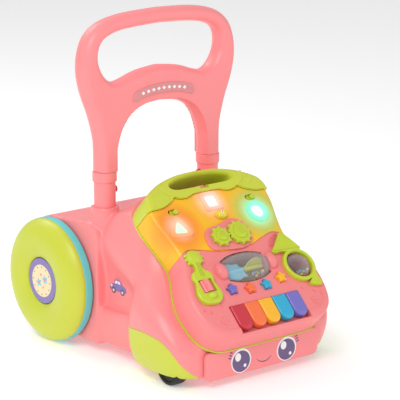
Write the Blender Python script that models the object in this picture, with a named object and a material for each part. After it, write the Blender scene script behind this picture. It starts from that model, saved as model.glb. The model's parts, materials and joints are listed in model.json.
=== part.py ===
"""Baby walker: a push-along toy car with a lift-off activity panel.

Metres, +Z up. The walker drives towards -Y, and the child pushes it from +Y.
"Left" is the -X side. The origin is on the floor, under the middle of the walker.
"""

import math

import bmesh
import bpy
from mathutils import Matrix, Vector

GAP = 0.0003          # between two pieces that touch
RUN = 0.0006          # between two pieces that move past each other
WALL = 0.003          # moulded plastic
GROUND = 0.010        # floor to the underside of the body
MIDDLE_Y = 0.01275    # every place below is measured from a point this far in front of the origin

# Handle
HANDLE_TOP = 0.470
HANDLE_Y = 0.057
HANDLE_DEPTH = 0.031
POST_X = 0.091
POST_RADIUS = 0.015
COLLAR_RADIUS = 0.0168
COLLAR_LOW = 0.239
HANDLE_FOOT = 0.2535
POST_FOOT = 0.150
POST_SIDES = 18
SPIGOT_RADIUS = 0.0105
SPIGOT_TOP = 0.310
SOCKET_RADIUS = 0.0198
SOCKET_TOP = 0.2043
BUTTON_Z = 0.226
BUTTON_RADIUS = 0.005
BUTTON_PROUD = 0.004

# Rear wheels and the round back of the body
REAR_Y = 0.137
WHEEL_RADIUS = 0.088
TYRE_INNER = 0.1185
TYRE_OUTER = 0.1300
TYRE_THICK = 0.0145
DISC_OUTER = 0.1500
CAP_RADIUS = 0.033
CAP_OUTER = 0.1435
AXLE_RADIUS = 0.004
BARREL_HALF = 0.1165
BARREL_RADIUS = WHEEL_RADIUS + 0.001
WHEEL_SIDES = 28
FRONT_SIDES = 20

# Front wheels
FRONT_Y = -0.121
FRONT_RADIUS = 0.024
FRONT_INNER = 0.105
FRONT_OUTER = 0.1245
FRONT_AXLE_RADIUS = 0.003
FRONT_AXLE_HALF = 0.1275

# Face plate
FACE_HALF = 0.098
FACE_Y = -0.173
FACE_THICK = 0.007
FACE_LOW = 0.011
FACE_HIGH = 0.0505

# Activity panel, in its own frame: x across, y up the panel, z out of its face
PANEL_FOOT = (0.0, -0.2042, 0.0768)
PANEL_TILT = math.radians(44.5)
SHELL_DEPTH = 0.037   # face to the edge of the back shell
TRIM = 0.003          # edge of the back shell that shows
TUB_DEPTH = 0.055
TUB_INSET = 0.013
TUB_TOP = 0.2225
KEY_PITCH = 0.024
KEY_COUNT = 5
SLOT_LOW, SLOT_HIGH = 0.004, 0.0456
KEY_BED = -0.0095
GEAR_DISTANCE = 0.032
LARGE_TEETH, SMALL_TEETH = 11, 9
DRUM_RADIUS, DRUM_HALF, DRUM_AXIS = 0.0235, 0.0355, -0.010
DRUM_T = 0.0965
BALL_RADIUS, BALL_AXIS = 0.0200, -0.008
BALL_AT = (0.083, 0.080)
ROLLER_RADIUS, ROLLER_HALF, ROLLER_AXIS = 0.0098, 0.0090, -0.0012
ROLLER_AT = (-0.080, 0.079)

PINK = (1.0, 0.27, 0.29)
YELLOW = (1.0, 0.55, 0.01)
LIME = (0.64, 0.67, 0.07)
CYAN = (0.16, 0.68, 0.68)
PURPLE = (0.26, 0.21, 0.50)
RED = (0.60, 0.0, 0.0)
ORANGE = (1.0, 0.19, 0.045)
BLUE = (0.045, 0.43, 0.68)
SKY = (0.42, 0.72, 0.80)
CLEAR = (0.85, 0.80, 0.80)
BLACK = (0.012, 0.012, 0.012)
STEEL = (0.55, 0.55, 0.57)
BOARD_GREEN = (0.02, 0.17, 0.06)


# ---------------------------------------------------------------- shapes

def smooth(points, steps, closed=False):
    """Catmull-Rom curve through the points, with `steps` segments to a span."""
    count = len(points)
    spans = count if closed else count - 1

    def at(index):
        return points[index % count] if closed else points[max(0, min(count - 1, index))]

    curve = []
    for span in range(spans):
        a, b, c, d = (Vector(at(span + shift)) for shift in (-1, 0, 1, 2))
        for step in range(steps):
            t = step / steps
            curve.append(0.5 * (2 * b + (c - a) * t + (2 * a - 5 * b + 4 * c - d) * t * t
                                + (3 * b - a - 3 * c + d) * t ** 3))
    if not closed:
        curve.append(Vector(points[-1]))
    return [tuple(point) for point in curve]


def mirrored(half):
    """A closed outline from its right half, which starts and ends on x = 0."""
    inner = half if abs(half[-1][0]) > 1e-6 else half[:-1]
    start = 1 if abs(half[0][0]) < 1e-6 else 0
    return half + [(-x, y) for x, y in reversed(inner[start:])]


def circle(radius, sides, centre=(0.0, 0.0), turn=0.0):
    return [(centre[0] + radius * math.cos(turn + math.tau * k / sides),
             centre[1] + radius * math.sin(turn + math.tau * k / sides)) for k in range(sides)]


def rectangle(half_x, half_y, centre=(0.0, 0.0)):
    x, y = centre
    return [(x - half_x, y - half_y), (x + half_x, y - half_y),
            (x + half_x, y + half_y), (x - half_x, y + half_y)]


def rounded(corners, radius, steps=4):
    """A polygon with each corner turned into an arc of the radius."""
    result = []
    count = len(corners)
    for index, corner in enumerate(corners):
        here = Vector(corner)
        back = (Vector(corners[index - 1]) - here).normalized()
        ahead = (Vector(corners[(index + 1) % count]) - here).normalized()
        half_angle = back.angle(ahead) / 2
        centre = here + (back + ahead).normalized() * radius / math.sin(half_angle)
        start = here + back * radius / math.tan(half_angle) - centre
        end = here + ahead * radius / math.tan(half_angle) - centre
        sweep = math.atan2(start.x * end.y - start.y * end.x, start.dot(end))
        for step in range(steps + 1):
            turn = Matrix.Rotation(sweep * step / steps, 2)
            result.append(tuple(centre + turn @ start))
    return result


def inset(outline, distance):
    """The anticlockwise outline moved inwards, or outwards where distance is negative."""
    result = []
    count = len(outline)
    for index, point in enumerate(outline):
        back = (Vector(point) - Vector(outline[index - 1])).normalized()
        ahead = (Vector(outline[(index + 1) % count]) - Vector(point)).normalized()
        normal = Vector((-back.y - ahead.y, back.x + ahead.x)).normalized()
        mitre = max(0.5, normal.dot(Vector((-back.y, back.x))))
        result.append(tuple(Vector(point) + normal * distance / mitre))
    return result


def loft(sections, folded=False):
    """A closed mesh through rings of 3D points, with a face at each end.

    A folded one has its quads split into triangles, the same way on the left as on the right.
    """
    mesh = bmesh.new()
    rings = [[mesh.verts.new(point) for point in section] for section in sections]
    for low, high in zip(rings, rings[1:]):
        for index in range(len(low)):
            after = (index + 1) % len(low)
            quad = (low[index], low[after], high[after], high[index])
            if not folded:
                mesh.faces.new(quad)
                continue
            if low[index].co.x + low[after].co.x < 0.0:
                quad = quad[1:] + quad[:1]
            mesh.faces.new(quad[:3])
            mesh.faces.new((quad[2], quad[3], quad[0]))
    mesh.faces.new(rings[0][::-1])
    mesh.faces.new(rings[-1])
    mesh.normal_update()
    bmesh.ops.triangulate(mesh, faces=[face for face in mesh.faces if len(face.verts) > 4])
    bmesh.ops.recalc_face_normals(mesh, faces=mesh.faces)
    return mesh


def slab(outline, rings):
    """The outline stacked along z: each ring is (inset, z). A return of the rings makes a tray."""
    return loft([[(x, y, z) for x, y in inset(outline, distance)] for distance, z in rings])


def prism(outline, low, high):
    return slab(outline, [(0.0, low), (0.0, high)])


def turned(profile, sides, ring=False):
    """The (radius, height) profile spun about z. A ring profile closes on itself off the axis."""
    mesh = bmesh.new()
    rows = []
    for radius, height in profile:
        if radius < 1e-6:
            rows.append([mesh.verts.new((0.0, 0.0, height))])
            continue
        rows.append([mesh.verts.new((x, y, height))
                     for x, y in circle(radius, sides, turn=math.pi / sides)])
    pairs = list(zip(rows, rows[1:]))
    if ring:
        pairs.append((rows[-1], rows[0]))
    for low, high in pairs:
        for index in range(sides):
            after = (index + 1) % sides
            corners = [low[index % len(low)], low[after % len(low)],
                       high[after % len(high)], high[index % len(high)]]
            unique = list(dict.fromkeys(corners))
            if len(unique) > 2:
                mesh.faces.new(unique)
    if not ring:
        for row in (rows[0], rows[-1]):
            if len(row) > 1:
                mesh.faces.new(row)
    bmesh.ops.recalc_face_normals(mesh, faces=mesh.faces)
    return mesh


def joined(*meshes):
    """Several closed meshes that don't meet, as one mesh."""
    first = meshes[0]
    for other in meshes[1:]:
        copy = bpy.data.meshes.new("copy")
        other.to_mesh(copy)
        first.from_mesh(copy)
        bpy.data.meshes.remove(copy)
        other.free()
    return first


def moved(mesh, matrix):
    bmesh.ops.transform(mesh, matrix=matrix, verts=mesh.verts)
    if matrix.determinant() < 0:
        bmesh.ops.reverse_faces(mesh, faces=mesh.faces)
    return mesh


def shifted(mesh, x=0.0, y=0.0, z=0.0):
    return moved(mesh, Matrix.Translation((x, y, z)))


# Turns a shape that was made along z so that it lies along x.
ALONG_X = Matrix.Rotation(math.pi / 2, 4, "Y")
ALONG_Y = Matrix.Rotation(-math.pi / 2, 4, "X")


# ---------------------------------------------------------------- objects

def place(name, mesh, parent=None, at=(0.0, 0.0, 0.0)):
    data = bpy.data.meshes.new(name)
    mesh.to_mesh(data)
    mesh.free()
    data.shade_smooth()
    data.set_sharp_from_angle(angle=math.radians(32))
    part = bpy.data.objects.new(name, data)
    bpy.context.scene.collection.objects.link(part)
    part.parent = parent
    part.location = at
    return part


def piece(name, mesh, colour, parent=None, at=(0.0, 0.0, 0.0), roughness=0.35, metallic=0.0, alpha=1.0):
    """A part of the walker, with its own material."""
    part = place(name, mesh, parent, at)
    material = bpy.data.materials.new(name)
    material.use_nodes = True
    shader = material.node_tree.nodes["Principled BSDF"]
    shader.inputs["Base Color"].default_value = (*colour, 1.0)
    shader.inputs["Roughness"].default_value = roughness
    shader.inputs["Metallic"].default_value = metallic
    shader.inputs["Alpha"].default_value = alpha
    part.data.materials.append(material)
    return part


def cutter(name, mesh, parent=None, at=(0.0, 0.0, 0.0)):
    part = place(name, mesh, parent, at)
    part.hide_render = True
    part.display_type = "WIRE"
    return part


def combine(target, tool, operation="DIFFERENCE"):
    modifier = target.modifiers.new(tool.name, "BOOLEAN")
    modifier.object = tool
    modifier.operation = operation
    modifier.solver = "EXACT"
    return target


def both_sides(build):
    """Calls build(side, word) for the left side, -1, and the right side, +1."""
    for side, word in ((-1, "left"), (1, "right")):
        build(side, word)


# ---------------------------------------------------------------- panel outline

# Half widths of the panel, from its foot to the top of the carry handle.
PANEL_HALF = [(0.0, 0.0), (0.058, 0.0), (0.086, 0.0035), (0.104, 0.017), (0.112, 0.037), (0.1145, 0.060),
              (0.112, 0.080), (0.1045, 0.101), (0.0965, 0.120), (0.0945, 0.137), (0.098, 0.160),
              (0.1035, 0.185), (0.1045, 0.206), (0.099, 0.224), (0.084, 0.2355), (0.062, 0.2455),
              (0.033, 0.2522), (0.0, 0.254)]
WAVE = [(-0.125, 0.119), (-0.108, 0.121), (-0.094, 0.130), (-0.077, 0.1375), (-0.056, 0.134),
        (-0.028, 0.1265),
        (0.0, 0.1245), (0.028, 0.1265), (0.052, 0.134), (0.072, 0.138), (0.090, 0.131), (0.106, 0.122),
        (0.125, 0.119)]
SCALLOP = [(0.0, 0.2175), (0.021, 0.2175), (0.035, 0.2135), (0.048, 0.2145), (0.055, 0.2175),
           (0.064, 0.2115),
           (0.080, 0.2055), (0.096, 0.2045), (0.125, 0.206)]


def panel_outline(steps=1):
    return mirrored(smooth(PANEL_HALF, steps))


def tub_outline(distance):
    """Outline of the tub behind the panel, which stops short of the grip slot."""
    top = TUB_TOP + TUB_INSET - distance
    return [(x, min(y, top)) for x, y in inset(panel_outline(), distance)]


def tub_room(distance, low, high):
    """A straight-sided block on the tub's outline, without the extra points along its top."""
    outline = tub_outline(distance)
    top = max(y for _, y in outline)
    ends = [x for x, y in outline if y == top]
    kept = [(x, y) for x, y in outline if y < top or x in (min(ends), max(ends))]
    return prism(kept, low, high)


def panel_half_width(height):
    """Half width of the panel at a height up its face."""
    for (x0, y0), (x1, y1) in zip(PANEL_HALF[1:], PANEL_HALF[2:]):
        if y0 <= height <= y1:
            return x0 + (x1 - x0) * (height - y0) / (y1 - y0)
    return PANEL_HALF[1][0]


def region(boundary, far):
    """A closed outline between a left-to-right boundary and the line y = far."""
    low, high = boundary[0][0], boundary[-1][0]
    outline = boundary + [(high, far), (low, far)]
    return outline if far > boundary[0][1] else outline[::-1]


def offset_y(points, distance):
    return [(x, y + distance) for x, y in points]


# ---------------------------------------------------------------- body

def seat_height(y):
    """Height of the plane that the panel's edge rests on, at a place along the walker."""
    slope = math.tan(PANEL_TILT)
    lift = (SHELL_DEPTH + TRIM + GAP) / math.cos(PANEL_TILT)
    return PANEL_FOOT[2] + (y - PANEL_FOOT[1]) * slope - lift


def seat_half_width(y):
    along = (y - PANEL_FOOT[1] - (SHELL_DEPTH + TRIM) * math.sin(PANEL_TILT)) / math.cos(PANEL_TILT)
    return panel_half_width(max(0.010, along)) + 0.001


# Cross-sections of the bonnet: y, then half width and height of the sill's lower edge, the sill,
# the ledge, the flank and the crease.
BONNET = [
    (-0.1650, (0.088, 0.016), (0.100, 0.022), (0.106, 0.034), (0.108, 0.044), (0.107, 0.050),
     (0.104, 0.054)),
    (-0.1600, (0.092, 0.012), (0.112, 0.018), (0.121, 0.035), (0.124, 0.048), (0.122, 0.055),
     (0.114, 0.060)),
    (-0.1480, (0.096, 0.012), (0.122, 0.015), (0.133, 0.036), (0.136, 0.056), (0.134, 0.066),
     (0.123, 0.074)),
    (-0.1250, (0.096, 0.012), (0.130, 0.015), (0.139, 0.038), (0.142, 0.062), (0.142, 0.080),
     (0.131, 0.095)),
    (-0.1000, (0.096, 0.012), (0.131, 0.015), (0.141, 0.038), (0.143, 0.065), (0.145, 0.090),
     (0.132, 0.110)),
    (-0.0750, (0.096, 0.012), (0.130, 0.015), (0.140, 0.038), (0.142, 0.066), (0.142, 0.092),
     (0.128, 0.119)),
    (-0.0560, (0.096, 0.012), (0.126, 0.016), (0.135, 0.038), (0.138, 0.065), (0.135, 0.091),
     (0.121, 0.124)),
    (-0.0480, (0.096, 0.012), (0.118, 0.017), (0.123, 0.038), (0.126, 0.064), (0.126, 0.090),
     (0.118, 0.126)),
    (-0.0420, (0.096, 0.012), (0.112, 0.018), (0.112, 0.040), (0.112, 0.065), (0.115, 0.092),
     (0.116, 0.127)),
    (-0.0200, (0.096, 0.012), (0.112, 0.018), (0.112, 0.063), (0.103, 0.070), (0.101, 0.100),
     (0.115, 0.134)),
    (0.0100, (0.096, 0.012), (0.112, 0.018), (0.112, 0.063), (0.102, 0.070), (0.100, 0.106), (0.114, 0.148)),
    (0.0360, (0.096, 0.012), (0.112, 0.018), (0.112, 0.063), (0.102, 0.070), (0.101, 0.112), (0.110, 0.160)),
    (0.0560, (0.096, 0.012), (0.110, 0.018), (0.110, 0.063), (0.103, 0.070), (0.102, 0.112), (0.104, 0.158)),
]
COWL_TOP = [(0.010, 0.101, 0.205, 0.222), (0.036, 0.097, 0.192, 0.204), (0.056, 0.092, 0.180, 0.186)]
NEAR_SECTION = 0.0145  # the hollow stays inside every outer section this near to it


def bonnet_section(row, wall=0.0):
    """One closed cross-section, as points in the x-z plane, moved in by the wall."""
    y, *side = row
    upper = dict((cowl[0], cowl[1:]) for cowl in COWL_TOP).get(y)
    if upper:
        shoulder, middle = (upper[0], upper[1]), (upper[0] * 0.6, upper[2])
    else:
        shoulder = (seat_half_width(y), seat_height(y) + 0.0012)
        middle = (seat_half_width(y) - 0.008, seat_height(y) + 0.012)
    half = [(0.0, GROUND + 0.002)] + [tuple(point) for point in side] + [shoulder, middle, (0.0, middle[1])]
    outline = mirrored(half)
    if wall:
        outline = inset(outline, wall)
        outline = [(x, z if z > GROUND + 0.008 else GROUND - 0.01) for x, z in outline]
    return outline


def bonnet(wall=0.0):
    """The front of the body, or with a wall, the hollow inside it."""
    sections = [bonnet_section(row, wall) for row in BONNET]
    places = [row[0] for row in BONNET]
    if wall:
        # A hollow section is no wider than the ones close to it, so that the wall never thins.
        around = [[section for section, y in zip(sections, places) if abs(y - here) < NEAR_SECTION]
                  for here in places]
        sections = [[(min((point[index] for point in group), key=lambda p: abs(p[0]))[0],
                      min(point[index][1] for point in group)) for index in range(len(group[0]))]
                    for group in around]
        places[0] += wall + 0.001
        places[-1] -= wall
    return loft([[(x, y, z) for x, z in section] for section, y in zip(sections, places)], folded=True)


def barrel_outline(wall=0.0, floor=GROUND + 0.0026):
    """Side view of the round back, as (y, z): flat below, an arc behind, a long slope in front."""
    radius = BARREL_RADIUS - wall
    centre = (REAR_Y, WHEEL_RADIUS)
    low = -math.asin((WHEEL_RADIUS - floor) / radius) if floor > 0 else -math.pi / 2.6
    steps = 13
    arc = [(centre[0] + radius * math.cos(low + (math.pi / 2 - low) * k / steps),
            centre[1] + radius * math.sin(low + (math.pi / 2 - low) * k / steps)) for k in range(steps + 1)]
    front = 0.042 + wall
    top = 0.182 - wall
    return [(front, floor)] + [(arc[0][0], floor)] + arc[1:] + [(REAR_Y - 0.045, top - 0.001),
                                                                (front + 0.018, top),
                                                                (front, top - 0.012)]


def barrel(wall=0.0):
    """The round back, which fills the space between the rear wheels."""
    half = BARREL_HALF - wall
    edge = 0.004 if not wall else 0.0
    outline = barrel_outline(wall, GROUND + 0.0026 if not wall else GROUND - 0.008)
    rings = [(0.0, -half)]
    if edge:
        rings = [(edge, -half), (edge * 0.3, -half + edge * 0.3), (0.0, -half + edge)]
    rings = rings + [(distance, -x) for distance, x in reversed(rings)]
    mesh = slab(outline, rings)
    # The outline's (y, z) and the stacking height x, put in order.
    return moved(mesh, Matrix(((0, 0, 1, 0), (1, 0, 0, 0), (0, 1, 0, 0), (0, 0, 0, 1))))


# The line between the pink wing and the lime skirt below it, as (y, z).
SKIRT_LINE = [(-0.1800, -0.004), (-0.1680, 0.006), (-0.1620, 0.020), (-0.1540, 0.040), (-0.1440, 0.056),
              (-0.1280, 0.067), (-0.1000, 0.0715), (-0.0700, 0.070), (-0.0300, 0.066)]


def skirt_zone(side, gap):
    """The space that the skirt takes up on one side, smaller or larger by the gap."""
    line = offset_y(smooth(SKIRT_LINE, 3), -gap)
    outline = region(line, -0.02)
    low, high = 0.1035 + gap, 0.17
    mesh = prism(outline, low, high)
    mesh = moved(mesh, Matrix(((0, 0, 1, 0), (1, 0, 0, 0), (0, 1, 0, 0), (0, 0, 0, 1))))
    return moved(mesh, Matrix.Diagonal((side, 1, 1, 1)))


def build_body(panel_frame):
    shell = piece("body_shell", bonnet(), PINK)
    back = cutter("barrel_form", barrel())
    sockets = joined(*[shifted(turned([(0.0, 0.13), (SOCKET_RADIUS, 0.13),
                                       (SOCKET_RADIUS, SOCKET_TOP - 0.0012),
                                       (SOCKET_RADIUS - 0.0012, SOCKET_TOP), (0.0, SOCKET_TOP)], POST_SIDES),
                               x=side * POST_X, y=HANDLE_Y) for side in (-1, 1)])
    combine(back, cutter("socket_form", sockets), "UNION")
    combine(shell, back, "UNION")

    seat = SHELL_DEPTH + TRIM + GAP
    above = prism(rectangle(0.2, 0.145, (0.0, 0.125)), -seat, 0.12)
    combine(shell, cutter("seat_plane", above, panel_frame))
    tub = tub_room(TUB_INSET - RUN, -TUB_DEPTH - GAP, 0.02)
    combine(shell, cutter("panel_pocket", tub, panel_frame))

    def pegs(low, radius, high, sides=POST_SIDES):
        return joined(*[shifted(turned([(0.0, low), (radius, low), (radius, high), (0.0, high)], sides),
                                x=side * POST_X, y=HANDLE_Y) for side in (-1, 1)])

    combine(shell, cutter("socket_bores", pegs(POST_FOOT - GAP, POST_RADIUS + GAP, 0.25)))
    axle_hole = moved(turned([(0.0, -0.2), (AXLE_RADIUS + GAP, -0.2), (AXLE_RADIUS + GAP, 0.2), (0.0, 0.2)],
                             16),
                      Matrix.Translation((0, REAR_Y, WHEEL_RADIUS)) @ ALONG_X)
    combine(shell, cutter("axle_hole", axle_hole))

    hollow = cutter("body_hollow", bonnet(WALL))
    combine(hollow, cutter("barrel_hollow", barrel(WALL)), "UNION")
    under_seat = prism(rectangle(0.21, 0.155, (0.0, 0.125)), -seat - WALL, 0.14)
    combine(hollow, cutter("under_seat", under_seat, panel_frame))
    under_tub = tub_room(TUB_INSET - WALL - RUN, -TUB_DEPTH - GAP - WALL, 0.05)
    combine(hollow, cutter("under_tub", under_tub, panel_frame))
    combine(hollow, cutter("socket_keep", pegs(POST_FOOT - WALL, SOCKET_RADIUS - 0.001, SOCKET_TOP + 0.01)))
    well = turned([(0.0, 0.098), (FRONT_RADIUS + 0.0025, 0.098),
                   (FRONT_RADIUS + 0.0025, FRONT_OUTER - 0.002),
                   (FRONT_RADIUS - 0.001, FRONT_OUTER + 0.0015), (0.0055, FRONT_OUTER + 0.0015),
                   (0.0055, FRONT_AXLE_HALF + 0.001), (0.0, FRONT_AXLE_HALF + 0.001)], FRONT_SIDES)
    for side, word in ((-1, "left"), (1, "right")):
        copy = well if side > 0 else well.copy()
        copy = moved(copy, Matrix.Translation((0, FRONT_Y, FRONT_RADIUS)) @ Matrix.Diagonal((side, 1, 1, 1))
                     @ ALONG_X)
        combine(hollow, cutter(f"wheel_well_{word}", copy), "UNION")
    combine(shell, hollow)

    def skirt(side, word):
        part = piece(f"wheel_skirt_{word}", bonnet(), LIME)
        combine(part, hollow)
        combine(part, cutter(f"skirt_form_{word}", skirt_zone(side, GAP)), "INTERSECT")
        combine(shell, cutter(f"skirt_gap_{word}", skirt_zone(side, 0.0)))

    both_sides(skirt)


def build_base():
    """The plate that closes the body from below, with two lugs for the front axle."""
    low, high = GROUND, GROUND + 0.0035
    outline = rounded([(-0.090, -0.152), (0.090, -0.152), (0.090, 0.170), (-0.090, 0.170)], 0.010, 3)
    plate = piece("base_plate", prism(outline, low, high), PINK, roughness=0.5)
    side_view = [(-0.008, high - 0.0005), (0.008, high - 0.0005), (0.006, FRONT_RADIUS + 0.002),
                 (0.0, FRONT_RADIUS + 0.0075), (-0.006, FRONT_RADIUS + 0.002)]
    turn = Matrix(((0, 0, 1, 0), (1, 0, 0, FRONT_Y), (0, 1, 0, 0), (0, 0, 0, 1)))
    lugs = joined(*[moved(prism(side_view, side * 0.082 - 0.002, side * 0.082 + 0.002), turn)
                    for side in (-1, 1)])
    combine(plate, cutter("axle_lugs", lugs), "UNION")
    hole = moved(turned([(0.0, -0.1), (FRONT_AXLE_RADIUS + GAP, -0.1), (FRONT_AXLE_RADIUS + GAP, 0.1),
                         (0.0, 0.1)],
                        16), Matrix.Translation((0, FRONT_Y, FRONT_RADIUS)) @ ALONG_X)
    combine(plate, cutter("lug_holes", hole))


def build_face():
    outline = rounded([(-FACE_HALF, FACE_LOW), (FACE_HALF, FACE_LOW), (FACE_HALF, FACE_HIGH),
                       (-FACE_HALF, FACE_HIGH)], 0.007, 4)
    mesh = slab(outline, [(0.0018, FACE_THICK), (0.0004, FACE_THICK - 0.0008), (0.0, FACE_THICK - 0.0022),
                          (0.0, 0.0)])
    # Stacked along z, then stood up to face -Y.
    stand = Matrix(((1, 0, 0, 0), (0, 0, -1, FACE_Y + FACE_THICK), (0, 1, 0, 0), (0, 0, 0, 1)))
    piece("face_plate", moved(mesh, stand), PINK)


# ---------------------------------------------------------------- wheels

def build_wheels():
    def axle(name, radius, half, y, z):
        rod = turned([(0.0, -half), (radius - 0.0005, -half), (radius, -half + 0.0005),
                      (radius, half - 0.0005),
                      (radius - 0.0005, half), (0.0, half)], 12)
        piece(name, moved(rod, ALONG_X), STEEL, at=(0.0, y, z), roughness=0.25, metallic=1.0)

    axle("rear_axle", AXLE_RADIUS, 0.1385, REAR_Y, WHEEL_RADIUS)
    axle("front_axle", FRONT_AXLE_RADIUS, FRONT_AXLE_HALF, FRONT_Y, FRONT_RADIUS)

    flat = 1 / math.cos(math.pi / WHEEL_SIDES)   # so that the sides, not the corners, reach the radius
    seat = WHEEL_RADIUS - TYRE_THICK
    bore = AXLE_RADIUS + GAP
    back = TYRE_INNER + 0.0015
    disc = [(bore, back), (0.012, back), (0.012, 0.1365), (0.0345, 0.1372), (0.057, 0.1462),
            (seat - 0.0035, 0.1360), (seat - 0.0035, back), (seat, back), (seat, TYRE_OUTER + GAP),
            (WHEEL_RADIUS - 0.0012, TYRE_OUTER + GAP), (WHEEL_RADIUS - 0.0022, 0.1365), (0.0760, 0.1454),
            (0.0590, DISC_OUTER), (0.0420, 0.1475), (CAP_RADIUS + RUN, 0.1425), (CAP_RADIUS + RUN, 0.1400),
            (bore, 0.1400)]
    tyre = [(seat + GAP, TYRE_INNER), (WHEEL_RADIUS, TYRE_INNER), (WHEEL_RADIUS, TYRE_OUTER),
            (seat + GAP, TYRE_OUTER)]
    cap = [(0.0, 0.1402), (CAP_RADIUS, 0.1402), (CAP_RADIUS, CAP_OUTER - 0.0010),
           (CAP_RADIUS - 0.001, CAP_OUTER - 0.0003),
           (0.016, CAP_OUTER), (0.0, CAP_OUTER)]
    front = [(FRONT_AXLE_RADIUS + GAP, FRONT_INNER), (FRONT_RADIUS - 0.003, FRONT_INNER),
             (FRONT_RADIUS, FRONT_INNER + 0.004), (FRONT_RADIUS, FRONT_OUTER - 0.004),
             (FRONT_RADIUS - 0.003, FRONT_OUTER), (FRONT_AXLE_RADIUS + GAP, FRONT_OUTER)]

    def wheel(side, word):
        def made(name, profile, sides, ring, colour, y, z, grow=1.0, roughness=0.35):
            mesh = turned([(radius * grow if radius > 0.006 else radius, height)
                           for radius, height in profile],
                          sides, ring)
            mesh = moved(mesh, Matrix.Diagonal((side, 1, 1, 1)) @ ALONG_X)
            piece(f"{name}_{word}", mesh, colour, at=(0.0, y, z), roughness=roughness)

        rear = (REAR_Y, WHEEL_RADIUS)
        made("rear_wheel", disc, WHEEL_SIDES, True, LIME, *rear, flat)
        made("rear_tyre", tyre, WHEEL_SIDES, True, CYAN, *rear, flat, 0.55)
        made("hub_cap", cap, WHEEL_SIDES, False, PURPLE, *rear)
        made("front_wheel", front, FRONT_SIDES, True, BLACK, FRONT_Y, FRONT_RADIUS,
             1 / math.cos(math.pi / FRONT_SIDES), 0.5)

    both_sides(wheel)


# ---------------------------------------------------------------- handle

HANDLE_OUTER = [(0.1055, 0.2750), (0.1070, 0.3000), (0.1155, 0.3320), (0.1270, 0.3620), (0.1330, 0.3900),
                (0.1315, 0.4170), (0.1210, 0.4420), (0.0980, 0.4590), (0.0580, 0.4675), (0.0, HANDLE_TOP)]
HANDLE_INNER = [(0.0, 0.3410), (0.0300, 0.3375), (0.0520, 0.3270), (0.0660, 0.3100), (0.0730, 0.2920),
                (0.0755, 0.2750)]
GRIP_HOLE = [(0.0, 0.3910), (0.0350, 0.3865), (0.0620, 0.3780), (0.0780, 0.3755), (0.0910, 0.3820),
             (0.1010, 0.3960), (0.1050, 0.4120), (0.1010, 0.4280), (0.0880, 0.4385), (0.0580, 0.4455),
             (0.0, 0.4485)]


def handle_outline(distance=0.0, foot=HANDLE_FOOT, steps=1):
    outer = smooth(HANDLE_OUTER, steps)
    inner = smooth(HANDLE_INNER, steps)
    leg_outer, leg_inner = HANDLE_OUTER[0][0], HANDLE_INNER[-1][0]
    half_inner = inner + [(leg_inner, foot - 0.05)]
    right = [(leg_outer, foot - 0.05)] + outer
    outline = right + [(-x, z) for x, z in reversed(right[:-1])]
    outline += [(-x, z) for x, z in reversed(half_inner)][:-1] + half_inner
    outline = inset(outline, distance)
    return [(x, max(z, foot)) for x, z in outline]


def grip_outline(distance=0.0):
    return inset(mirrored(smooth(GRIP_HOLE, 1)), distance)


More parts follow.
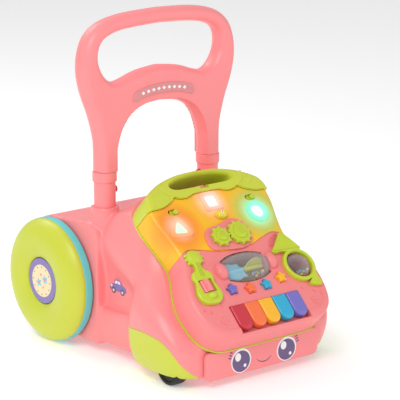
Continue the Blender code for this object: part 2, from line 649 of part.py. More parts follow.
def build_handle():
    depth = HANDLE_DEPTH / 2
    # The (inset, distance from the middle plane) of the rounded edge, from the seam to the face.
    edge = [(0.0, GAP / 2), (0.0004, 0.0060), (0.0040, 0.0125), (0.0100, depth)]
    stand = Matrix(((1, 0, 0, 0), (0, 0, 1, HANDLE_Y), (0, 1, 0, 0), (0, 0, 0, 1)))

    def rings(outline_at, pairs):
        return loft([[(x, z, y) for x, z in outline_at(distance)] for distance, y in pairs])

    room = rings(lambda d: handle_outline(d, HANDLE_FOOT - 0.002, 1),
                 [(0.0075, -depth + WALL), (WALL + 0.0003, -0.0080), (WALL + 0.0003, 0.0080),
                  (0.0075, depth - WALL)])
    hollow = cutter("handle_hollow", moved(room, stand))

    def through(extra):
        """The grip hole with its rounded edges, made wider by the extra."""
        half = [(d + extra, y) for d, y in edge[1:] + [(0.0160, depth + 0.003)]]
        sides = [(d, -y) for d, y in reversed(half)] + half
        return moved(rings(lambda d: grip_outline(-d), sides), stand)

    combine(hollow, cutter("grip_keep", through(WALL)))
    grip = cutter("grip_hole", through(0.0))

    for word, sign in (("front", -1), ("rear", 1)):
        shell = piece(f"handle_{word}_shell", moved(rings(handle_outline, [(d, sign * y) for d, y in edge]),
                                                    stand),
                      PINK)
        combine(shell, hollow)
        combine(shell, grip)

    badge_line = [(-0.049, 0.3530), (-0.028, 0.3585), (0.0, 0.3605), (0.028, 0.3585), (0.049, 0.3530)]
    line = smooth(badge_line, 2)
    lower, upper = offset_y(line, -0.0070), offset_y(line, 0.0070)
    outline = lower + [(0.0535, 0.3510)] + upper[::-1] + [(-0.0535, 0.3510)]
    front = HANDLE_Y - depth
    badge = slab(outline, [(0.0, GAP), (0.0, 0.0010), (0.0006, 0.0014)])
    stand_out = Matrix(((1, 0, 0, 0), (0, 0, -1, front), (0, 1, 0, 0), (0, 0, 0, 1)))
    piece("handle_badge", moved(badge, stand_out), LIME, roughness=0.45)

    def post(side, word):
        profile = [(0.0, SPIGOT_TOP), (SPIGOT_RADIUS - 0.001, SPIGOT_TOP),
                   (SPIGOT_RADIUS, SPIGOT_TOP - 0.001),
                   (SPIGOT_RADIUS, HANDLE_FOOT - GAP), (COLLAR_RADIUS, HANDLE_FOOT - GAP),
                   (COLLAR_RADIUS, COLLAR_LOW + 0.001), (COLLAR_RADIUS - 0.001, COLLAR_LOW),
                   (POST_RADIUS, COLLAR_LOW), (POST_RADIUS, POST_FOOT), (POST_RADIUS - WALL, POST_FOOT),
                   (POST_RADIUS - WALL, COLLAR_LOW), (SPIGOT_RADIUS - WALL, HANDLE_FOOT + 0.004),
                   (SPIGOT_RADIUS - WALL, SPIGOT_TOP - WALL), (0.0, SPIGOT_TOP - WALL)]
        part = piece(f"post_{word}", turned(profile, POST_SIDES), PINK, at=(side * POST_X, HANDLE_Y, 0.0))
        hole = moved(turned([(0.0, 0.0), (BUTTON_RADIUS + GAP + 0.0001, 0.0),
                             (BUTTON_RADIUS + GAP + 0.0001, 0.03), (0.0, 0.03)], 16),
                     Matrix.Translation((side * POST_X, HANDLE_Y, BUTTON_Z))
                     @ Matrix.Diagonal((-side, 1, 1, 1))
                     @ ALONG_X)
        combine(part, cutter(f"button_hole_{word}", hole))
        face = POST_RADIUS + BUTTON_PROUD
        cap = turned([(0.0, POST_RADIUS - 0.0055), (BUTTON_RADIUS, POST_RADIUS - 0.0055),
                      (BUTTON_RADIUS, face - 0.0015),
                      (BUTTON_RADIUS - 0.0015, face - 0.0003), (0.0, face)], 16)
        piece(f"post_button_{word}", moved(cap, Matrix.Diagonal((-side, 1, 1, 1)) @ ALONG_X), RED,
              at=(side * POST_X, HANDLE_Y, BUTTON_Z))

    both_sides(post)


# ---------------------------------------------------------------- panel

def gear_outline(teeth, tip, root, turn):
    """Straight-sided teeth with cut tips."""
    outline = []
    for tooth in range(teeth):
        middle = turn + math.tau * tooth / teeth
        for share, radius in ((-0.27, root), (-0.105, tip), (0.105, tip), (0.27, root)):
            angle = middle + share * math.tau / teeth
            outline.append((radius * math.cos(angle), radius * math.sin(angle)))
    return outline


def star_outline(outer, inner, points=5):
    corners = []
    for k in range(points * 2):
        radius = outer if k % 2 == 0 else inner
        angle = math.pi / 2 + math.pi * k / points
        corners.append((radius * math.cos(angle), radius * math.sin(angle)))
    return smooth(corners, 2, closed=True)


def oval(half_x, half_y, centre=(0.0, 0.0), steps=5):
    straight = half_x - half_y
    points = []
    for sign in (1, -1):
        for k in range(steps + 1):
            angle = -math.pi / 2 + math.pi * k / steps
            points.append((centre[0] + sign * (straight + half_y * math.cos(angle)),
                           centre[1] + sign * half_y * math.sin(angle)))
    return points


TRIANGLE_AT, SQUARE_AT, ROUND_AT = (-0.071, 0.173), (0.0, 0.202), (0.065, 0.173)
TRIANGLE_TURN = math.radians(-6)
STARS = (("purple", (-0.0415, 0.0680), PURPLE), ("orange", (-0.0126, 0.0637), ORANGE),
         ("blue", (0.0152, 0.0637), BLUE), ("yellow", (0.0438, 0.0685), YELLOW))
KEYS = (("red", RED), ("orange", ORANGE), ("yellow", YELLOW), ("blue", BLUE), ("purple", PURPLE))
SMALL_GEAR_AT, LARGE_GEAR_AT = (-0.018, 0.145), (0.014, 0.145)
STAR_OUTER, STAR_INNER = 0.0085, 0.0053
SWITCHES = (("light_switch", -0.067), ("sound_switch", 0.067))
SWITCH_T, SWITCH_SLOT, SWITCH_NUB = 0.197, (0.0085, 0.0047), 0.0040
SWITCH_REST = SWITCH_SLOT[0] - SWITCH_NUB - 0.0005


def triangle(radius, corner):
    corners = [(TRIANGLE_AT[0] + radius * math.cos(TRIANGLE_TURN + math.pi / 2 + math.tau * k / 3),
                TRIANGLE_AT[1] - 0.003 + radius * math.sin(TRIANGLE_TURN + math.pi / 2 + math.tau * k / 3))
               for k in range(3)]
    return rounded(corners, corner, 3)


def lens_shapes():
    """Name, lens outline, bezel outline and the two colours of each light."""
    return (("triangle", triangle(0.0125, 0.0012), triangle(0.0255, 0.006), LIME, (0.0, 0.25, 0.05)),
            ("square", rounded(rectangle(0.0083, 0.0083, SQUARE_AT), 0.001, 2),
             rounded(rectangle(0.0148, 0.0148, SQUARE_AT), 0.004, 3), PINK, (0.45, 0.02, 0.02)),
            ("round", circle(0.0092, 20, ROUND_AT), circle(0.0172, 24, ROUND_AT), SKY, (0.0, 0.05, 0.25)))


def drum_radius_at(x):
    """The drum is a spindle: widest in the middle, narrower at its ends."""
    return DRUM_RADIUS - (DRUM_RADIUS - 0.0165) * (abs(x) / DRUM_HALF) ** 2.2


def drum_window(clear):
    """Opening round the drum where it passes through the fascia."""
    height = -DRUM_AXIS - WALL
    half = DRUM_HALF + clear
    count = 8
    upper = []
    for k in range(count + 1):
        x = -half + 2 * half * k / count
        upper.append((x, math.sqrt(drum_radius_at(min(abs(x), DRUM_HALF)) ** 2 - height ** 2) + clear))
    outline = [(x, -y) for x, y in upper] + upper[::-1]
    return [(x, y + DRUM_T) for x, y in outline]


def fascia_openings():
    """Every hole through the face, as one cutter."""
    deep, out = -0.0135, 0.012
    shapes = [prism(drum_window(0.0008), deep, out),
              prism(circle(BALL_RADIUS - 0.0002, 20, BALL_AT), deep, out),
              prism(rectangle(ROLLER_RADIUS + 0.0010, ROLLER_HALF + 0.0008, ROLLER_AT), deep, out)]
    shapes += [prism(inset(lens, -0.0004), deep, out) for _, lens, _, _, _ in lens_shapes()]
    shapes += [prism([(x + at[0], y + at[1]) for x, y in inset(star_outline(STAR_OUTER, STAR_INNER), -RUN)],
                     deep, out)
               for _, at, _ in STARS]
    shapes += [prism(oval(*SWITCH_SLOT, (x, SWITCH_T)), deep, out) for _, x in SWITCHES]
    return joined(*shapes)


def tray(outline):
    """The front shell: a rounded edge, a side wall, and a hollow behind."""
    return slab(outline, [(0.0095, 0.0), (0.0052, -0.0010), (0.0022, -0.0040), (0.0010, -0.0090),
                          (0.0010, -SHELL_DEPTH), (0.0010 + WALL, -SHELL_DEPTH), (0.0010 + WALL, -0.0100),
                          (0.0080, -WALL - 0.0008), (0.0105, -WALL)])


def build_panel_shells(frame):
    openings = cutter("face_openings", fascia_openings(), frame)
    wave = smooth(WAVE, 3)
    scallop = mirrored_line(smooth(SCALLOP, 3))

    lower = piece("panel_lower_fascia", tray(panel_outline()), PINK, frame)
    bed = prism(rectangle(0.0630, 0.0235, (0.0, 0.0262)), KEY_BED - 0.0025, -WALL + 0.0005)
    combine(lower, cutter("key_bed_form", bed, frame), "UNION")
    bosses = joined(*[moved(turned([(0.0, -0.0135), (0.0080, -0.0125), (0.0118, -0.0085), (0.0130, -0.0015),
                                    (0.0118, 0.0035),
                                    (0.0085, 0.0075), (0.0, 0.0095)], 16),
                            Matrix.Translation((side * 0.0430, DRUM_T, -0.0015))
                            @ Matrix.Diagonal((0.75, 1, 1, 1)))
                      for side in (-1, 1)])
    combine(lower, cutter("drum_boss_form", bosses, frame), "UNION")
    combine(lower, cutter("above_wave", prism(region(wave, 0.30), -0.06, 0.03), frame))
    combine(lower, openings)
    slot = prism(rectangle(KEY_PITCH * KEY_COUNT / 2 + 0.0002, (SLOT_HIGH - SLOT_LOW) / 2,
                           (0.0, (SLOT_HIGH + SLOT_LOW) / 2)), KEY_BED, 0.01)
    combine(lower, cutter("key_slot", slot, frame))
    pins = joined(prism(rectangle(DRUM_HALF + 0.0055, 0.0024, (0.0, DRUM_T)), -0.0150, DRUM_AXIS + 0.0024),
                  prism(rectangle(0.0019, ROLLER_HALF + 0.0045, ROLLER_AT), -0.0060, ROLLER_AXIS + 0.0018))
    combine(lower, cutter("pin_slots", pins, frame))

    upper = piece("panel_upper_fascia", tray(panel_outline()), YELLOW, frame)
    combine(upper, cutter("below_wave", prism(region(offset_y(wave, GAP), -0.05), -0.06, 0.03), frame))
    combine(upper, cutter("above_scallop", prism(region(scallop, 0.30), -0.06, 0.03), frame))
    combine(upper, openings)

    cap_rings = [(0.0090, 0.0042), (0.0045, 0.0035), (0.0012, 0.0005), (0.0, -0.0050), (0.0, -SHELL_DEPTH)]
    cap = piece("panel_carry_cap", slab(panel_outline(), cap_rings), LIME, frame)
    combine(cap, cutter("below_scallop", prism(region(offset_y(scallop, GAP), -0.05), -0.06, 0.03), frame))
    grip = [(0.0, 0.2290), (0.036, 0.2290), (0.0480, 0.2305), (0.0530, 0.2340), (0.0490, 0.2385),
            (0.0300, 0.2440),
            (0.0, 0.2462)]
    hole = slab(mirrored(smooth(grip, 2)), [(-0.003, 0.0052), (-0.0010, 0.0020), (0.0, -0.0030),
                                            (0.0, -0.06)])
    combine(cap, cutter("grip_slot", hole, frame))
    cavity = [(0.0, 0.19), (0.098, 0.19), (0.0985, 0.215), (0.086, 0.2275), (0.060, 0.2255), (0.0, 0.2255)]
    combine(cap, cutter("cap_hollow", prism(mirrored(cavity), -0.06, 0.0005), frame))
    button_hole = prism(rectangle(0.0075, 0.0045, (0.0, 0.2270)), -0.0140, -0.0020)
    combine(cap, cutter("release_hole", button_hole, frame))
    button = prism(rounded(rectangle(0.0070, 0.0046, (0.0, 0.0)), 0.0015, 2), -0.0050, 0.0050)
    piece("panel_release_button", button, PINK, frame, (0.0, 0.2270, -0.0080))

    high, edge, floor = -SHELL_DEPTH - GAP, -SHELL_DEPTH - TRIM, -TUB_DEPTH
    inner = TUB_INSET + WALL
    back = piece("panel_back_shell", loft([
        level(tub_outline(TUB_INSET + 0.002), floor), level(tub_outline(TUB_INSET), floor + 0.002),
        level(tub_outline(TUB_INSET), edge), level(panel_outline(), edge), level(panel_outline(), high),
        level(tub_outline(inner), high), level(tub_outline(inner), floor + WALL + 0.002),
        level(tub_outline(inner + 0.002), floor + WALL)]), LIME, frame)
    combine(back, bpy.data.objects["grip_slot"])


def level(outline, z):
    return [(x, y, z) for x, y in outline]


def mirrored_line(half):
    """A left-to-right line from its right half, which starts on x = 0."""
    return [(-x, y) for x, y in reversed(half[1:])] + half


# ---------------------------------------------------------------- panel pieces

FACE_GAP = GAP        # under what is fixed on the face


def rod_x(radius, half, sides=10):
    return moved(turned([(0.0, -half), (radius, -half), (radius, half), (0.0, half)], sides), ALONG_X)


def build_lights(frame):
    for name, lens, bezel, bezel_colour, lens_colour in lens_shapes():
        ring = slab(bezel, [(0.0, FACE_GAP), (0.0, 0.0022), (0.0010, 0.0034), (0.0028, 0.0040)])
        part = piece(f"{name}_bezel", ring, bezel_colour, frame)
        well = slab(lens, [(-0.0004, -0.01), (-0.0004, 0.0022), (-0.0022, 0.0050)])
        combine(part, cutter(f"{name}_well", well, frame))
        glass = slab(lens, [(0.0, -0.0045), (0.0, 0.0010), (0.0008, 0.0016)])
        piece(f"{name}_lens", glass, lens_colour, frame, roughness=0.15)


def build_switches(frame):
    for name, x in SWITCHES:
        nub = oval(SWITCH_NUB, SWITCH_NUB - 0.0001)
        slider = slab(nub, [(-0.0042, -0.0058), (-0.0042, -WALL - GAP), (0.0, -WALL - GAP), (0.0, 0.0008),
                            (0.0010, 0.0016)])
        piece(name, slider, LIME, frame, (x + SWITCH_REST, SWITCH_T, 0.0))


def build_buttons(frame):
    for word, at, colour in STARS:
        star = slab(star_outline(STAR_OUTER, STAR_INNER), [(0.0, -0.0060), (0.0, 0.0024), (0.0007, 0.0034),
                                                           (0.0022, 0.0040)])
        piece(f"star_button_{word}", star, colour, frame, (*at, 0.0))
    width = (KEY_PITCH - 0.0012) / 2
    back = SLOT_HIGH - 0.0008
    tip = SLOT_LOW + 0.0040
    for index, (word, colour) in enumerate(KEYS):
        x = (index - (KEY_COUNT - 1) / 2) * KEY_PITCH
        round_end = [(width * math.cos(a), tip + width + width * math.sin(a) - back)
                     for a in (math.pi + math.pi * k / 10 for k in range(11))]
        outline = round_end + [(width, 0.0), (-width, 0.0)]
        key = slab(outline, [(0.0, -0.0045), (0.0, 0.0030), (0.0010, 0.0042), (0.0028, 0.0046)])
        piece(f"key_{word}", key, colour, frame, (x, back, -0.0025))


def build_gears(frame):
    body = [(-0.0410, 0.1380), (-0.0360, 0.1290), (-0.0200, 0.1265), (-0.0040, 0.1240), (0.0150, 0.1240),
            (0.0310, 0.1310), (0.0360, 0.1450), (0.0330, 0.1590), (0.0220, 0.1690), (0.0080, 0.1695),
            (-0.0060, 0.1660), (-0.0170, 0.1640), (-0.0300, 0.1620), (-0.0390, 0.1530)]
    plate = piece("gear_plate", slab(smooth(body, 2, closed=True),
                                     [(0.0, FACE_GAP), (0.0, 0.0016), (0.0008, 0.0022)]),
                  PINK, frame)
    pegs = joined(*[shifted(turned([(0.0, 0.0012), (0.0026, 0.0012), (0.0026, 0.0060), (0.0, 0.0060)], 12),
                            *at)
                    for at in (SMALL_GEAR_AT, LARGE_GEAR_AT)])
    combine(plate, cutter("gear_pegs", pegs, frame), "UNION")
    slack = 0.0005
    small_tip, large_tip = 0.0156, 0.0186
    for name, teeth, tip, root, at, turn in (
            ("gear_small", SMALL_TEETH, small_tip, GEAR_DISTANCE - large_tip - slack, SMALL_GEAR_AT, 0.0),
            ("gear_large", LARGE_TEETH, large_tip, GEAR_DISTANCE - small_tip - slack, LARGE_GEAR_AT,
             math.pi - math.pi / LARGE_TEETH)):
        low = 0.0027
        wheel = piece(name, slab(gear_outline(teeth, tip, root, turn),
                                 [(0.0, low), (0.0, low + 0.0040), (0.0006, low + 0.0048)]),
                      LIME, frame, (*at, 0.0))
        hub = shifted(turned([(0.0, 0.0), (root * 0.62, 0.0), (root * 0.60, 0.0024), (root * 0.45, 0.0036),
                              (0.0, 0.0040)],
                             16), z=low + 0.0040)
        combine(wheel, cutter(f"{name}_hub", hub, frame, (*at, 0.0)), "UNION")
        bore = turned([(0.0, 0.0), (0.0026 + GAP + 0.0002, 0.0), (0.0026 + GAP + 0.0002, 0.0066),
                       (0.0, 0.0066)], 12)
        combine(wheel, cutter(f"{name}_bore", bore, frame, (*at, 0.0)))

    head = turned([(0.0, FACE_GAP), (0.0068, FACE_GAP), (0.0078, 0.0025), (0.0070, 0.0055), (0.0040, 0.0078),
                   (0.0, 0.0086)],
                  14)
    bird = piece("bird_figure", moved(head, Matrix.Diagonal((1.15, 0.85, 1, 1))), YELLOW, frame,
                 (0.0045, 0.1785, 0.0))
    beak = prism([(-0.0125, 0.0005), (-0.0060, -0.0030), (-0.0060, 0.0035)], FACE_GAP, 0.0035)
    combine(bird, cutter("bird_beak", beak, frame, (0.0045, 0.1785, 0.0)), "UNION")


GUITAR = [(0.0, 0.0530), (0.0105, 0.0542), (0.0175, 0.0610), (0.0190, 0.0700), (0.0165, 0.0780),
          (0.0145, 0.0850),
          (0.0160, 0.0930), (0.0140, 0.1000), (0.0080, 0.1035), (0.0052, 0.1080)]
GUITAR_LEAN = math.radians(-5.5)


def guitar_outline():
    """Body, neck and round head, leaning a little to the right on the face."""
    body = mirrored_open(smooth(GUITAR, 2))
    start = math.asin(0.0052 / 0.0115)
    arc = [(0.0115 * math.sin(start + (math.tau - 2 * start) * k / 14),
            0.1235 - 0.0115 * math.cos(start + (math.tau - 2 * start) * k / 14)) for k in range(15)]
    right, left = body
    outline = right + arc + left
    turn = Matrix.Rotation(GUITAR_LEAN, 2)
    return [tuple(Vector(ROLLER_AT) + turn @ (Vector(point) - Vector((0.0,
                                                                      ROLLER_AT[1])))) for point in outline]


def mirrored_open(half):
    """Right side going up, and left side coming down again."""
    return half, [(-x, y) for x, y in reversed(half[1:])]


def build_guitar(frame):
    body = piece("guitar_body", slab(guitar_outline(), [(0.0, FACE_GAP), (0.0, 0.0036), (0.0008, 0.0050),
                                                        (0.0022, 0.0056)]),
                 LIME, frame)
    window = prism(rectangle(ROLLER_RADIUS + 0.0010, ROLLER_HALF + 0.0008, ROLLER_AT), -0.01, 0.02)
    spoon = shifted(moved(turned([(0.0, -0.001), (0.0070, -0.001), (0.0066, 0.0035), (0.0045, 0.0062),
                                  (0.0, 0.0072)], 14),
                          Matrix.Diagonal((1.1, 0.75, 1, 1))), ROLLER_AT[0], ROLLER_AT[1] - 0.0150, 0.0035)
    combine(body, cutter("spoon", spoon, frame), "UNION")
    pegs = joined(*[shifted(turned([(0.0, 0.0), (0.0024, 0.0), (0.0024, 0.0030), (0.0, 0.0036)], 6),
                            ROLLER_AT[0] + 0.0043 + side * 0.0122 * math.cos(turn),
                            0.1233 + 0.0122 * math.sin(turn),
                            0.0010)
                    for side in (-1, 1) for turn in (-0.5, 0.0, 0.5)])
    combine(body, cutter("tuning_pegs", pegs, frame), "UNION")
    combine(body, cutter("roller_window", window, frame))

    ribs = 12
    outline = []
    for k in range(ribs * 4):
        deep = 0.0012 if k % 4 == 0 else 0.0
        angle = math.tau * k / (ribs * 4)
        outline.append(((ROLLER_RADIUS - deep) * math.cos(angle), (ROLLER_RADIUS - deep) * math.sin(angle)))
    drum = prism(outline, -ROLLER_HALF, ROLLER_HALF)
    roller = piece("guitar_roller", moved(drum, ALONG_Y), PINK, frame, (*ROLLER_AT, ROLLER_AXIS))
    pin = turned([(0.0, -ROLLER_HALF - 0.0038), (0.0014, -ROLLER_HALF - 0.0038),
                  (0.0014, ROLLER_HALF + 0.0038),
                  (0.0, ROLLER_HALF + 0.0038)], 10)
    combine(roller, cutter("roller_pin", moved(pin, ALONG_Y), frame, (*ROLLER_AT, ROLLER_AXIS)), "UNION")


def build_drum(frame):
    skin = 0.0014
    at = (0.0, DRUM_T, DRUM_AXIS)
    count = 6
    stations = [-DRUM_HALF + 2 * DRUM_HALF * k / count for k in range(count + 1)]
    outer = [(drum_radius_at(x), x) for x in stations]
    inner = [(radius - skin, x * (DRUM_HALF - skin) / DRUM_HALF) for radius, x in reversed(outer)]
    hole = 0.0023
    profile = [(hole, -DRUM_HALF)] + outer + [(hole, DRUM_HALF), (hole, DRUM_HALF - skin)] + inner \
        + [(hole, -DRUM_HALF + skin)]
    piece("drum_shell", moved(turned(profile, 20, ring=True), ALONG_X), CLEAR, frame, at, 0.1, 0.0, 0.4)
    piece("drum_shaft", rod_x(0.0019, DRUM_HALF + 0.0048), PINK, frame, at)

    def vane(name, start, end, colour, turn):
        """A wing across the drum, with a sleeve on the shaft."""
        low, high = (drum_radius_at(x) - skin - 0.0015 for x in (start, end))
        wing = prism([(start, -low), (end, -high), (end, high), (start, low)], -0.0008, 0.0008)
        spin = Matrix.Rotation(turn, 4, "X")
        part = piece(name, moved(wing, spin), colour, frame, at)
        ends = (start - 0.0004, end + 0.0004)
        sleeve = moved(turned([(0.0, ends[0]), (0.0040, ends[0]), (0.0040, ends[1]), (0.0, ends[1])], 12),
                       ALONG_X)
        combine(part, cutter(f"{name}_sleeve", sleeve, frame, at), "UNION")
        bore = moved(turned([(0.0, start - 0.01), (0.0023, start - 0.01), (0.0023, end + 0.01),
                             (0.0, end + 0.01)], 12),
                     ALONG_X)
        combine(part, cutter(f"{name}_bore", bore, frame, at))

    vane("drum_vanes_blue", -0.0320, -0.0010, SKY, math.radians(-20))
    vane("drum_vane_green", 0.0010, 0.0320, LIME, math.radians(65))


def build_horn(frame):
    ring = circle(0.0252, 24, BALL_AT)
    rise = [(0.0, FACE_GAP), (0.0, 0.0034), (0.0008, 0.0046), (0.0020, 0.0050)]
    horn = piece("horn_body", slab(ring, rise), LIME, frame)
    bell = [(0.0490, 0.1065), (0.0530, 0.1040), (0.0660, 0.1045), (0.0760, 0.1010), (0.0940, 0.0990),
            (0.0985, 0.1040),
            (0.0925, 0.1150), (0.0850, 0.1270), (0.0800, 0.1330), (0.0765, 0.1320), (0.0620, 0.1180)]
    combine(horn, cutter("horn_bell", slab(bell, [(0.0, FACE_GAP + 0.0001), (0.0, 0.0046),
                                                  (0.0010, 0.0058)]), frame),
            "UNION")
    tail = [(0.0850, 0.0600), (0.0905, 0.0570), (0.0830, 0.0500), (0.0860, 0.0470), (0.1000, 0.0430),
            (0.1035, 0.0460),
            (0.1015, 0.0580), (0.1045, 0.0720), (0.1010, 0.0700)]
    combine(horn, cutter("horn_tail", slab(tail, [(0.0, FACE_GAP + 0.0002), (0.0, 0.0040),
                                                  (0.0008, 0.0048)]), frame),
            "UNION")
    well = prism(circle(0.0197, 24, BALL_AT), -0.01, 0.02)
    combine(horn, cutter("ball_well", well, frame))

    skin, hole, steps = 0.0013, 0.0022, 5
    lift = math.asin(hole / BALL_RADIUS)
    inner_radius = BALL_RADIUS - skin
    inner_lift = math.asin(hole / inner_radius)

    def arc(radius, low, sign):
        turns = [-math.pi / 2 + low + (math.pi - 2 * low) * k / (steps * 2) for k in range(steps * 2 + 1)]
        return [(radius * math.cos(a),
                 radius * math.sin(a)) for a in (turns if sign > 0 else reversed(turns))]

    shell = turned(arc(BALL_RADIUS, lift, 1) + arc(inner_radius, inner_lift, -1), 16, ring=True)
    piece("horn_ball", moved(shell, ALONG_X), CLEAR, frame, (*BALL_AT, BALL_AXIS), 0.1, 0.0, 0.4)


def build_inside(frame):
    """What the panel holds behind its face."""
    board = rounded(rectangle(0.070, 0.030, (0.0, 0.172)), 0.003, 2)
    piece("circuit_board", prism(board, -0.0266, -0.0250), BOARD_GREEN, frame, roughness=0.5)
    cone = turned([(0.0, -0.0210), (0.0070, -0.0210), (0.0080, -0.0130), (0.0135, -0.0080),
                   (0.0135, -0.0045),
                   (0.0, -0.0045)], 16)
    piece("speaker", shifted(cone, 0.0660, 0.1210), BLACK, frame, roughness=0.6)
    pack = prism(rounded(rectangle(0.030, 0.024, (0.0, 0.172)), 0.003, 2), -TUB_DEPTH + WALL + GAP, -0.0310)
    piece("battery_pack", pack, BLACK, frame, roughness=0.5)
    cover_outline = rounded(rectangle(0.0330, 0.0270, (0.0, 0.172)), 0.003, 2)
    piece("battery_cover", prism(cover_outline, -TUB_DEPTH, -TUB_DEPTH + WALL - GAP), LIME, frame)
    opening = prism(inset(cover_outline, -GAP), -0.07, -TUB_DEPTH + WALL + 0.001)
    combine(bpy.data.objects["panel_back_shell"], cutter("battery_opening", opening, frame))


def main():
    for old in list(bpy.data.objects):
        bpy.data.objects.remove(old)
    frame = bpy.data.objects.new("panel_frame", None)
    bpy.context.scene.collection.objects.link(frame)
    frame.location = PANEL_FOOT
    frame.rotation_euler = (PANEL_TILT, 0.0, 0.0)
    build_body(frame)
    build_base()
    build_face()
    build_wheels()
    build_handle()
    build_panel_shells(frame)
    build_lights(frame)
    build_switches(frame)
    build_buttons(frame)
    build_gears(frame)
    build_guitar(frame)
    build_drum(frame)
    build_horn(frame)
    build_inside(frame)
    for part in bpy.data.objects:
        if part.parent is None:
            part.location.y -= MIDDLE_Y


main()
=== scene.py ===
# %% [markdown]
# # Baby walker
# A push-along toy car in moulded plastic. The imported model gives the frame: every piece is
# made in the walker's own metres, so it goes where the frame says. The walker drives
# towards -Y, left is -X, and the floor is z = 0.

# %% Load the frame
import json
import math

import bmesh
import bpy
from mathutils import Matrix, Vector
from mathutils.bvhtree import BVHTree

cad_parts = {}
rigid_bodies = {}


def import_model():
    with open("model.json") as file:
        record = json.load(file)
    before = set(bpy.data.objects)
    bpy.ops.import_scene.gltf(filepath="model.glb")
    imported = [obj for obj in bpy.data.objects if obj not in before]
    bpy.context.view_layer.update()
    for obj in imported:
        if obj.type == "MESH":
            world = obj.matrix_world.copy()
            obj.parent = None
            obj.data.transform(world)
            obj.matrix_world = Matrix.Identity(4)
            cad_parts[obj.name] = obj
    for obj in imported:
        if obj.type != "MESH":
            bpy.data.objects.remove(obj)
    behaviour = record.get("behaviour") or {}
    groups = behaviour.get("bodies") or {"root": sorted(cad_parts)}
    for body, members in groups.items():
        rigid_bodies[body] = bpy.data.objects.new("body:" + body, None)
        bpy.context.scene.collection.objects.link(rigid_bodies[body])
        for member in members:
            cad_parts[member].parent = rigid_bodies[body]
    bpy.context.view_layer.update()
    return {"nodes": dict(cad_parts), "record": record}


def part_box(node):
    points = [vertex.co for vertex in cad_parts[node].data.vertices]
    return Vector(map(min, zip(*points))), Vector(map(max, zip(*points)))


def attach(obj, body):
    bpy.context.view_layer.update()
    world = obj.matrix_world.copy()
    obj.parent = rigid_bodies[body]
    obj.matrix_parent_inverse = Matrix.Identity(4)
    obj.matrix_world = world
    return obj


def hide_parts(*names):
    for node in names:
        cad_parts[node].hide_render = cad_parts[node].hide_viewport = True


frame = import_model()
joints = {joint["name"]: joint for joint in frame["record"]["behaviour"]["joints"]}

# %% [markdown]
# ## Two places to measure from
# The body, handle and wheels are measured from the posts, and the toys from the foot of the
# tilted panel: x across it, y up its face and z out of it. The panel lifts straight off its
# seat, so the lift joint's axis says which way its face looks.

# %% Places
def centre(node):
    low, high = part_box(node)
    return (Vector(low) + Vector(high)) / 2


POST_X, POST_Y = centre("post_right").x, 0.057
WALKER = Matrix.Translation((0.0, centre("post_right").y - POST_Y, 0.0))

face_way = Vector(joints["panel_lift"]["axis"]).normalized()
face_up = Vector((0.0, face_way.z, -face_way.y))
face_foot = Vector(joints["panel_lift"]["pos_m"]) - 0.12 * face_up
PANEL = Matrix.Translation(face_foot) @ Matrix((Vector((1, 0, 0)), face_up, face_way)).transposed().to_4x4()
print("panel foot", [round(c, 4) for c in face_foot], "tilt", round(math.degrees(math.asin(face_up.z)), 1))

# %% [markdown]
# ## Camera
# The lens is long, so the walker's near and far wheels come out almost the same size. The
# camera looks from the front left, a little above the handle.

# %% Camera
AZIMUTH, ELEVATION = math.radians(-39.176), math.radians(14.216)
SENSOR_MM, FOCAL_MM = 36.0, 177.58
CAMERA_AT = Vector((-1.6465, -2.0583, 0.8765))
back_way = Vector((math.sin(AZIMUTH) * math.cos(ELEVATION), -math.cos(AZIMUTH) * math.cos(ELEVATION),
                   math.sin(ELEVATION)))
right_way = Vector((math.cos(AZIMUTH), math.sin(AZIMUTH), 0.0))
camera = bpy.data.objects.new("camera", bpy.data.cameras.new("camera"))
camera.data.sensor_width, camera.data.lens = SENSOR_MM, FOCAL_MM
camera.location = WALKER @ CAMERA_AT
camera.rotation_euler = Matrix((right_way, back_way.cross(right_way), back_way)).transposed().to_euler()
bpy.context.scene.collection.objects.link(camera)
bpy.context.scene.camera = camera

# %% [markdown]
# ## Outlines
# Nearly every piece starts as a flat outline. A Catmull-Rom curve passes through its own
# points, so a few places measured on the real object are enough for a smooth line.

# %% Outlines
def smooth(points, steps, closed=False):
    """A Catmull-Rom curve through the points, with `steps` segments to a span."""
    count = len(points)
    spans = count if closed else count - 1
    curve = []
    for span in range(spans):
        around = [(span + shift) % count if closed else max(0, min(count - 1, span + shift))
                  for shift in (-1, 0, 1, 2)]
        a, b, c, d = (Vector(points[index]) for index in around)
        for step in range(steps):
            t = step / steps
            curve.append(tuple(0.5 * (2 * b + (c - a) * t + (2 * a - 5 * b + 4 * c - d) * t * t
                                      + (3 * b - a - 3 * c + d) * t ** 3)))
    return curve if closed else curve + [tuple(points[-1])]


def mirrored(half):
    """A closed outline from its right half, which starts on x = 0."""
    inner = half if abs(half[-1][0]) > 1e-6 else half[:-1]
    start = 1 if abs(half[0][0]) < 1e-6 else 0
    return half + [(-x, y) for x, y in reversed(inner[start:])]


def circle(radius, sides=48, at=(0.0, 0.0), squash=1.0):
    return [(at[0] + radius * math.cos(math.tau * k / sides),
             at[1] + radius * squash * math.sin(math.tau * k / sides)) for k in range(sides)]


def rectangle(half_x, half_y, at=(0.0, 0.0)):
    x, y = at
    return [(x - half_x, y - half_y), (x + half_x, y - half_y), (x + half_x, y + half_y),
            (x - half_x, y + half_y)]


